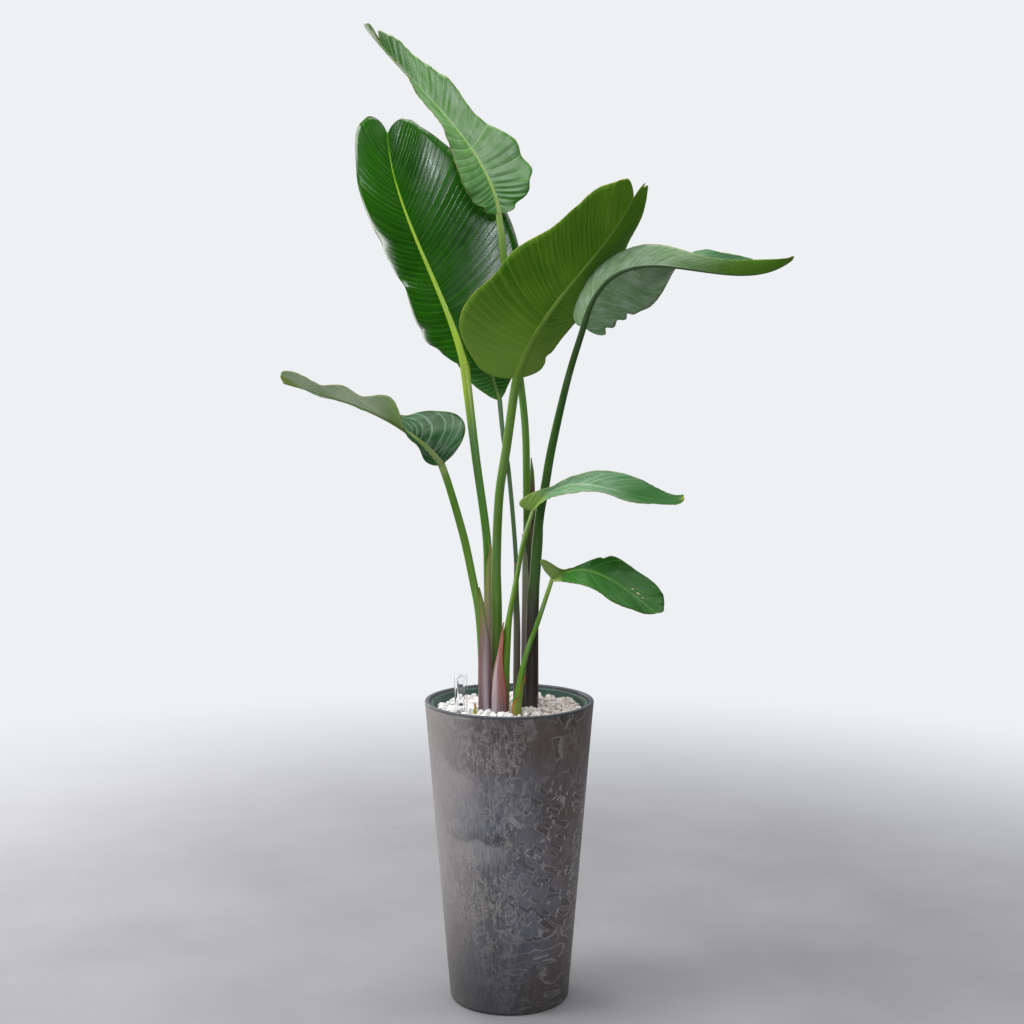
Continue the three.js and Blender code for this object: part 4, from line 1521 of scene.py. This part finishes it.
        pitch=11.0, pleat=0.7, slant=0.16,
    ),
]


# Planter, filling and gauge

@dataclass(frozen=True)
class Planter:
    """The tapered planter."""

    rim_radius: float = 0.170
    base_radius: float = 0.120
    wall: float = 0.009
    floor: float = 0.016
    foot_round: float = 0.008
    rim_round: float = 0.0025
    ledge_drop: float = 0.009
    ledge_width: float = 0.004
    ledge_slope: float = 0.012
    first_ring: float = 0.03
    ring_step: float = 0.05
    side_rings: int = 12
    steps: int = 160

    def outer(self, z: float) -> float:
        """Outer radius at a height."""
        return lerp(self.base_radius, self.rim_radius, z / RIM_HEIGHT)

    def inner(self, z: float) -> float:
        """Inner radius at a height."""
        return self.outer(z) - self.wall

    def build(self) -> None:
        """Turns the planter and dresses it."""
        foot = (self.outer(self.foot_round) - self.foot_round, self.foot_round)
        lip_out = (self.rim_radius - self.rim_round, RIM_HEIGHT - self.rim_round)
        lip_in = (self.rim_radius - self.wall + self.rim_round, RIM_HEIGHT - self.rim_round)
        ledge = RIM_HEIGHT - self.ledge_drop
        heights = [self.first_ring + self.ring_step * i for i in range(self.side_rings)]
        below = ledge - self.ledge_slope
        profile = [
            (0.0, 0.0),
            *rounded(foot, self.foot_round, -90, 0, 6),
            *[(self.outer(z), z) for z in heights],
            *rounded(lip_out, self.rim_round, 0, 90, 4),
            *rounded(lip_in, self.rim_round, 90, 180, 4),
            (self.inner(ledge), ledge),
            (self.inner(ledge) - self.ledge_width, ledge),
            (self.inner(below) - self.ledge_width, below),
            (self.inner(below - self.ledge_width), below - self.ledge_width),
            (self.inner(self.floor), self.floor),
            (0.0, self.floor),
        ]
        piece = finish_mesh(turned(profile, self.steps), "pot", 40.0)
        dress(piece, ("planter",), [StoneLookFinish().material()])


@dataclass(frozen=True)
class Liner:
    """The moulded inner pot with its lip."""

    planter: Planter
    depth: float = 0.300
    wall: float = 0.003
    lip: float = 0.003
    lip_round: float = 0.0015
    gap: float = 0.0003
    slack: float = 0.0004
    play: float = 0.001
    steps: int = 144

    def outer(self, z: float) -> float:
        """Outer radius at a height."""
        return self.planter.inner(z) - self.planter.ledge_width - self.play

    def inner(self, z: float) -> float:
        """Inner radius at a height."""
        return self.outer(z) - self.wall

    def build(self) -> None:
        """Turns the liner and dresses it."""
        low = RIM_HEIGHT - self.depth
        lip_z = RIM_HEIGHT - self.planter.ledge_drop + self.gap
        edge = self.planter.inner(lip_z) - self.gap - self.slack
        bead_z = lip_z + self.lip - self.lip_round
        profile = [
            (0.0, low),
            (self.outer(low), low),
            (self.outer(lip_z), lip_z),
            (edge, lip_z),
            *rounded((edge - self.lip_round, bead_z), self.lip_round, 0, 90, 4),
            *rounded((self.inner(lip_z) + self.lip_round, bead_z), self.lip_round, 90, 180, 4),
            (self.inner(low + self.wall), low + self.wall),
            (0.0, low + self.wall),
        ]
        piece = finish_mesh(turned(profile, self.steps), "inner_pot", 40.0)
        finish = PlainFinish("liner_plastic", "#2f4f45", "#3a5a50", roughness=0.42, grain=700.0,
                             relief=0.2, dust=0.35)
        dress(piece, ("liner",), [finish.material()])


@dataclass(frozen=True)
class Soil:
    """The potting soil, which keeps its CAD node."""

    finish: PlainFinish = PlainFinish("potting_soil", "#2b2119", "#3b2f24", roughness=0.95,
                                      grain=260.0, relief=0.9, dust=0.3)

    def build(self) -> None:
        """Dresses the node."""
        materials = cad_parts["soil"].data.materials
        materials.clear()
        materials.append(self.finish.material())
        LOG.info("piece soil: dressed")


@dataclass(frozen=True)
class Pumice:
    """The mulch: a bed of angular stones round the stalks and the gauge.

    The plays say how far a stone may lie off its place on a ring, in steps and in metres, and
    the rooms how many of its sizes it keeps from the rim and from a stem.
    """

    liner: Liner
    smallest: float = 0.0055
    largest: float = 0.0105
    rings: int = 15
    seed: int = 11
    steps: int = 96
    first_ring: float = 0.4
    spacing: float = 1.55
    rim_gap: float = 0.0005
    rim_room: float = 0.95
    stem_room: float = 0.62
    angle_play: float = 0.3
    radius_play: float = 0.003
    lifts: Numbers = (-0.001, 0.0045)
    mound: float = 0.003
    cuts: int = 7
    cut_depths: Numbers = (0.5, 0.8)
    widths: Numbers = (0.65, 0.95)
    heights: Numbers = (0.55, 0.85)
    lean: float = 0.5
    uneven: float = 0.24
    sunk: float = 0.004
    off_soil: float = 0.0008
    room: float = 0.002
    shoots: tuple[Numbers, ...] = ((0.052, 0.062, 0.007), (-0.068, -0.050, 0.004))

    def holes(self) -> list[Numbers]:
        """Everything that stands in the bed.

        Returns:
            Place and radius of each hole.
        """
        feet = [leaf.stalk[-1] for leaf in LEAVES]
        stalks = [(x * MM, y * MM, width / 2 * MM + self.room) for x, y, _, width in feet]
        return [*stalks, (GAUGE.x, GAUGE.y, GAUGE.radius), *self.shoots]

    def stone(self, bm: bmesh.types.BMesh, centre: Vector, size: float, draw: random.Random) -> None:
        """Adds one angular stone.

        Args:
            bm: the bed's mesh.
            centre: where it lies.
            size: its half length.
            draw: the seeded source of chance.
        """
        made = bmesh.ops.create_icosphere(bm, subdivisions=2, radius=1.0)["verts"]
        cuts = []
        for _ in range(self.cuts):
            normal = Vector([draw.gauss(0, 1) for _ in range(3)]).normalized()
            cuts.append((normal, draw.uniform(*self.cut_depths)))
        stretch = Vector((1.0, draw.uniform(*self.widths), draw.uniform(*self.heights)))
        turn = draw.uniform(0, 2 * math.pi)
        lean = draw.uniform(-self.lean, self.lean)
        shade = draw.random()
        settle = Matrix.Rotation(turn, 3, "Z") @ Matrix.Rotation(lean, 3, "X")
        layer = bm.verts.layers.float["shade"]
        for vert in made:
            co = vert.co.copy()
            for normal, depth in cuts:
                over = co.dot(normal) - depth
                if over > 0:
                    co -= normal * over
            co *= 1 + self.uneven * noise.noise(co * 2.6 + centre * 900)
            co = Vector((co.x * stretch.x, co.y * stretch.y, co.z * stretch.z)) * size
            vert.co = settle @ co + centre
            vert[layer] = shade

    def build(self) -> None:
        """Lays the stones over a flat bed."""
        draw = random.Random(self.seed)
        reach = self.liner.inner(PUMICE_TOP) - self.rim_gap
        low, high = SOIL_TOP + self.off_soil, PUMICE_TOP - self.sunk
        bm = turned([(0.0, low), (reach, low), (reach, high), (0.0, high)], self.steps)
        bm.verts.layers.float.new("shade")
        holes = self.holes()
        for ring in range(self.rings):
            radius = (ring + self.first_ring) / self.rings * (reach - self.smallest)
            count = max(1, round(2 * math.pi * radius / (self.spacing * self.largest)))
            for step in range(count):
                size = draw.uniform(self.smallest, self.largest)
                place = step + draw.uniform(-self.angle_play, self.angle_play)
                angle = 2 * math.pi * place / count + ring
                out = radius + draw.uniform(-self.radius_play, self.radius_play)
                out = min(out, reach - size * self.rim_room)
                x, y = out * math.cos(angle), out * math.sin(angle)
                if any(math.hypot(x - hx, y - hy) < r + size * self.stem_room for hx, hy, r in holes):
                    continue
                lift = draw.uniform(*self.lifts)
                lift += self.mound * noise.noise(Vector((x * 22, y * 22, 0)))
                self.stone(bm, Vector((x, y, PUMICE_TOP + lift)), size, draw)
        piece = finish_mesh(bm, "pumice_bed", 26.0)
        dress(piece, ("pumice",), [PumiceFinish().material()])


@dataclass(frozen=True)
class Gauge:
    """The clear water gauge with its float rod and two marks."""

    x: float = -0.096
    y: float = -0.045
    top: float = 0.669
    radius: float = 0.0127
    wall: float = 0.0016
    outer_round: float = 0.004
    inner_round: float = 0.003
    rod_radius: float = 0.0075
    rod_round: float = 0.002
    headroom: float = 0.0023
    depth: float = 0.060
    mark_height: float = 0.004
    mark_radius: float = 0.0037
    marks: tuple[tuple[str, float], ...] = (("upper", 0.645), ("lower", 0.607))
    steps: int = 48
    rod_steps: int = 40
    sharp: float = 50.0

    def stand(self, bm: bmesh.types.BMesh, name: str) -> bpy.types.Object:
        """Finishes a turned mesh at the gauge's place."""
        bmesh.ops.translate(bm, verts=bm.verts, vec=(self.x, self.y, 0.0))
        return finish_mesh(bm, name, self.sharp)

    def build(self) -> None:
        """Turns the tube, the rod and the marks."""
        foot = SOIL_TOP - self.depth
        inside = self.radius - self.wall
        roof = self.top - self.wall
        outer, inner = self.outer_round, self.inner_round
        tube = [(inside, foot), (self.radius, foot),
                *rounded((self.radius - outer, self.top - outer), outer, 0, 90, 6), (0.0, self.top),
                (0.0, roof), *rounded((inside - inner, roof - inner), inner, 90, 0, 5), (inside, foot)]
        piece = self.stand(turned(tube, self.steps), "gauge_sleeve")
        clear = ClearFinish("clear_sleeve", "#ffffff", clear=1.0)
        dress(piece, ("gauge_tube",), [clear.material()])
        cap = roof - self.headroom
        edge = (self.rod_radius - self.rod_round, cap - self.rod_round)
        rod = [(0.0, foot), (self.rod_radius, foot), *rounded(edge, self.rod_round, 0, 90, 4),
               (0.0, cap)]
        piece = self.stand(turned(rod, self.rod_steps), "gauge_float")
        clear = ClearFinish("clear_float", "#fdfdff", clear=0.93)
        dress(piece, ("gauge_rod",), [clear.material()])
        ink = PlainFinish("gauge_ink", "#040404", "#0a0a0a", roughness=0.6)
        for name, z in self.marks:
            ring = [(0.0, z), (self.mark_radius, z), (self.mark_radius, z + self.mark_height),
                    (0.0, z + self.mark_height)]
            piece = self.stand(turned(ring, self.rod_steps), "gauge_ring_" + name)
            dress(piece, ("gauge_mark_" + name,), [ink.material()])


GAUGE = Gauge()


@dataclass(frozen=True)
class Sprout:
    """A young shoot: a rolled rod that tapers to a point."""

    name: str
    node: str
    slot: str
    points: tuple[Numbers, ...]
    finish: StalkFinish
    sides: int = 24
    rings: int = 70
    twist: float = 2.2
    overlap: float = 0.12
    thinnest: float = 0.3

    def build(self) -> None:
        """Makes the shoot with a seam along its roll."""
        foot = self.points[-1]
        listed = [*self.points, (foot[0], foot[1], SOIL_TOP / MM - FOOT_DEPTH, foot[3])][::-1]
        centres, widths = [Vector(p[:3]) for p in listed], [p[3] for p in listed]
        bm, layers = grid(self.sides, self.rings, ("turn", "climb"))
        for vert in bm.verts:
            turn, climb = (vert.co.x + 1) / 2, (vert.co.y + 1) / 2
            point = spline(centres, climb, True)
            half = max(self.thinnest, spline(widths, climb) / 2)
            angle = 2 * math.pi * turn + self.twist * climb
            lap = 1.0 + self.overlap * turn
            vert[layers["turn"]], vert[layers["climb"]] = turn, climb
            vert.co = (point + Vector((math.cos(angle), math.sin(angle), 0)) * half * lap) * MM
        bmesh.ops.holes_fill(bm, edges=[e for e in bm.edges if e.is_boundary], sides=0)
        bmesh.ops.recalc_face_normals(bm, faces=bm.faces)
        piece = finish_mesh(bm, self.name, 70.0)
        dress(piece, (self.node,), [self.finish.material()])


SPROUTS = (
    Sprout("rolled_spear", "spear", "blade",
           ((44, 48, 1094, 2), (46, 52, 1060, 8), (47, 56, 1000, 11), (50, 60, 900, 12),
            (52, 62, 780, 13), (52, 62, 600, 14)),
           StalkFinish("spear_green", "#6a8a3a", "#416a24", "#6a5044", 0.74, 0.85)),
    Sprout("bud_tip", "shoot", "bud",
           ((-68, -50, 614, 1.5), (-68, -50, 606, 4), (-68, -50, 595, 6), (-68, -50, 570, 7)),
           StalkFinish("bud_colours", "#b4501c", "#8f3514", "#a89a3c", 0.7, 0.88)),
)


# Studio

@dataclass(frozen=True)
class Lamp:
    """A large soft light: its place, what it looks at, its size, its watts and its tint."""

    name: str
    place: Numbers
    aim: Numbers
    size: Numbers
    power: float
    colour: Numbers = (1.0, 1.0, 1.0)

    def build(self) -> None:
        """Hangs the lamp out of the camera's sight."""
        data = bpy.data.lights.new(self.name, "AREA")
        data.shape = "RECTANGLE"
        data.size, data.size_y = self.size
        data.energy = self.power
        data.color = self.colour
        lamp = bpy.data.objects.new(self.name, data)
        lamp.location = self.place
        toward = Vector(self.aim) - Vector(self.place)
        lamp.rotation_euler = toward.to_track_quat("-Z", "Y").to_euler()
        lamp.visible_camera = False
        bpy.context.scene.collection.objects.link(lamp)


LAMPS = (
    Lamp("window", (-1.7, 2.0, 1.4), (0.0, 0.0, 0.6), (1.2, 2.2), 28.0, (1.0, 0.99, 0.97)),
    Lamp("left_window", (-2.5, -0.6, 3.0), (0.0, 0.0, 0.5), (1.4, 1.0), 56.0),
    Lamp("front_window", (-0.1, -4.3, 2.36), (0.0, 0.0, 1.4), (0.4, 0.8), 42.0, (0.92, 0.97, 1.0)),
    Lamp("ceiling", (-0.2, 0.0, 3.4), (0.0, 0.0, 0.6), (1.8, 1.8), 60.0),
    Lamp("right_window", (2.1, -0.35, 2.95), (0.0, 0.0, 1.5), (1.0, 1.2), 15.0),
)


@dataclass(frozen=True)
class Studio:
    """Pale floor, soft light and the camera.

    The floor fades between two distances in metres. The glow and what shows mirrored have their
    rise to the back, to the right and upwards, and their middle brightness.
    """

    camera_place: Numbers = (0.0054, -3.218, 1.2775)
    camera_pitch: float = 5.13
    lens: float = 57.0
    floor_radius: float = 9.0
    fade: Numbers = (0.9, 3.2)
    dark: str = "#8f8e90"
    light: str = "#979698"
    glow: Numbers = (0.22, -0.14, 0.12, 0.38)
    mirrored: Numbers = (0.5, 0.0, 0.45, -0.05)
    seen: float = 0.95

    def floor(self) -> None:
        """A round floor that fades into the surrounding light."""
        bm = bmesh.new()
        bmesh.ops.create_circle(bm, cap_ends=True, segments=96, radius=self.floor_radius)
        piece = finish_mesh(bm, "floor")
        w = Surface("pale_floor")
        here = w.local()
        w.shader.inputs["Roughness"].default_value = 0.7
        patch = w.cloud(here, 3.0, 4.0)
        colour = w.blend(w.ranged(patch, 0.3, 0.7), self.dark, self.light)
        w.feed(w.shader.inputs["Base Color"], colour)
        far = w.add("VectorMath", {0: here}, operation="LENGTH").outputs["Value"]
        clear = w.add("BsdfTransparent")
        inputs = {0: w.ranged(far, *self.fade), 1: w.shader.outputs[0], 2: clear.outputs[0]}
        joined = w.add("MixShader", inputs)
        w.feed(w.tree.nodes["Material Output"].inputs["Surface"], joined.outputs[0])
        piece.data.materials.append(w.material)

    def surroundings(self) -> None:
        """Pale room light: brighter behind and to the left, darker in front and to the right."""
        world = bpy.data.worlds.new("soft_surroundings")
        world.use_nodes = True
        w = Wiring(world.node_tree)
        x, y, z = w.add("SeparateXYZ", {0: w.add("TexCoord").outputs["Generated"]}).outputs
        brightness = []
        for (back, right, up, middle), least in ((self.glow, 0.1), (self.mirrored, 0.03)):
            level = w.plus(w.times(y, back), w.times(x, right))
            level = w.plus(w.plus(level, w.times(z, up)), middle)
            brightness.append(w.most(level, least))
        path = w.add("LightPath").outputs
        inputs = {0: path["Is Glossy Ray"], 2: brightness[0], 3: brightness[1]}
        light = w.add("Mix", inputs, data_type="FLOAT")
        direct = w.most(path["Is Camera Ray"], path["Is Transmission Ray"])
        strength = w.add("Mix", {0: direct, 2: light.outputs[0], 3: self.seen}, data_type="FLOAT")
        back = world.node_tree.nodes["Background"]
        back.inputs["Color"].default_value = (0.90, 0.92, 0.95, 1.0)
        w.feed(back.inputs["Strength"], strength.outputs[0])
        bpy.context.scene.world = world

    def camera(self) -> None:
        """The camera at the height and pitch of a standing viewer's picture."""
        data = bpy.data.cameras.new("camera")
        data.lens = self.lens
        data.sensor_width = 36.0
        camera = bpy.data.objects.new("camera", data)
        camera.location = self.camera_place
        camera.rotation_euler = (math.radians(90 - self.camera_pitch), 0.0, 0.0)
        bpy.context.scene.collection.objects.link(camera)
        bpy.context.scene.camera = camera

    def build(self) -> None:
        """Sets up the studio."""
        self.camera()
        self.floor()
        self.surroundings()
        for lamp in LAMPS:
            lamp.build()
        bpy.context.scene.view_settings.view_transform = "Standard"


def main() -> None:
    """Builds the pieces in order and reports them."""
    logging.basicConfig(level=logging.INFO, format="%(message)s")
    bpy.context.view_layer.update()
    Studio().build()
    planter = Planter()
    liner = Liner(planter)
    planter.build()
    liner.build()
    Soil().build()
    Pumice(liner).build()
    GAUGE.build()
    for leaf in LEAVES:
        leaf.build()
    for sprout in SPROUTS:
        sprout.build()


if __name__ == "__main__":
    main()
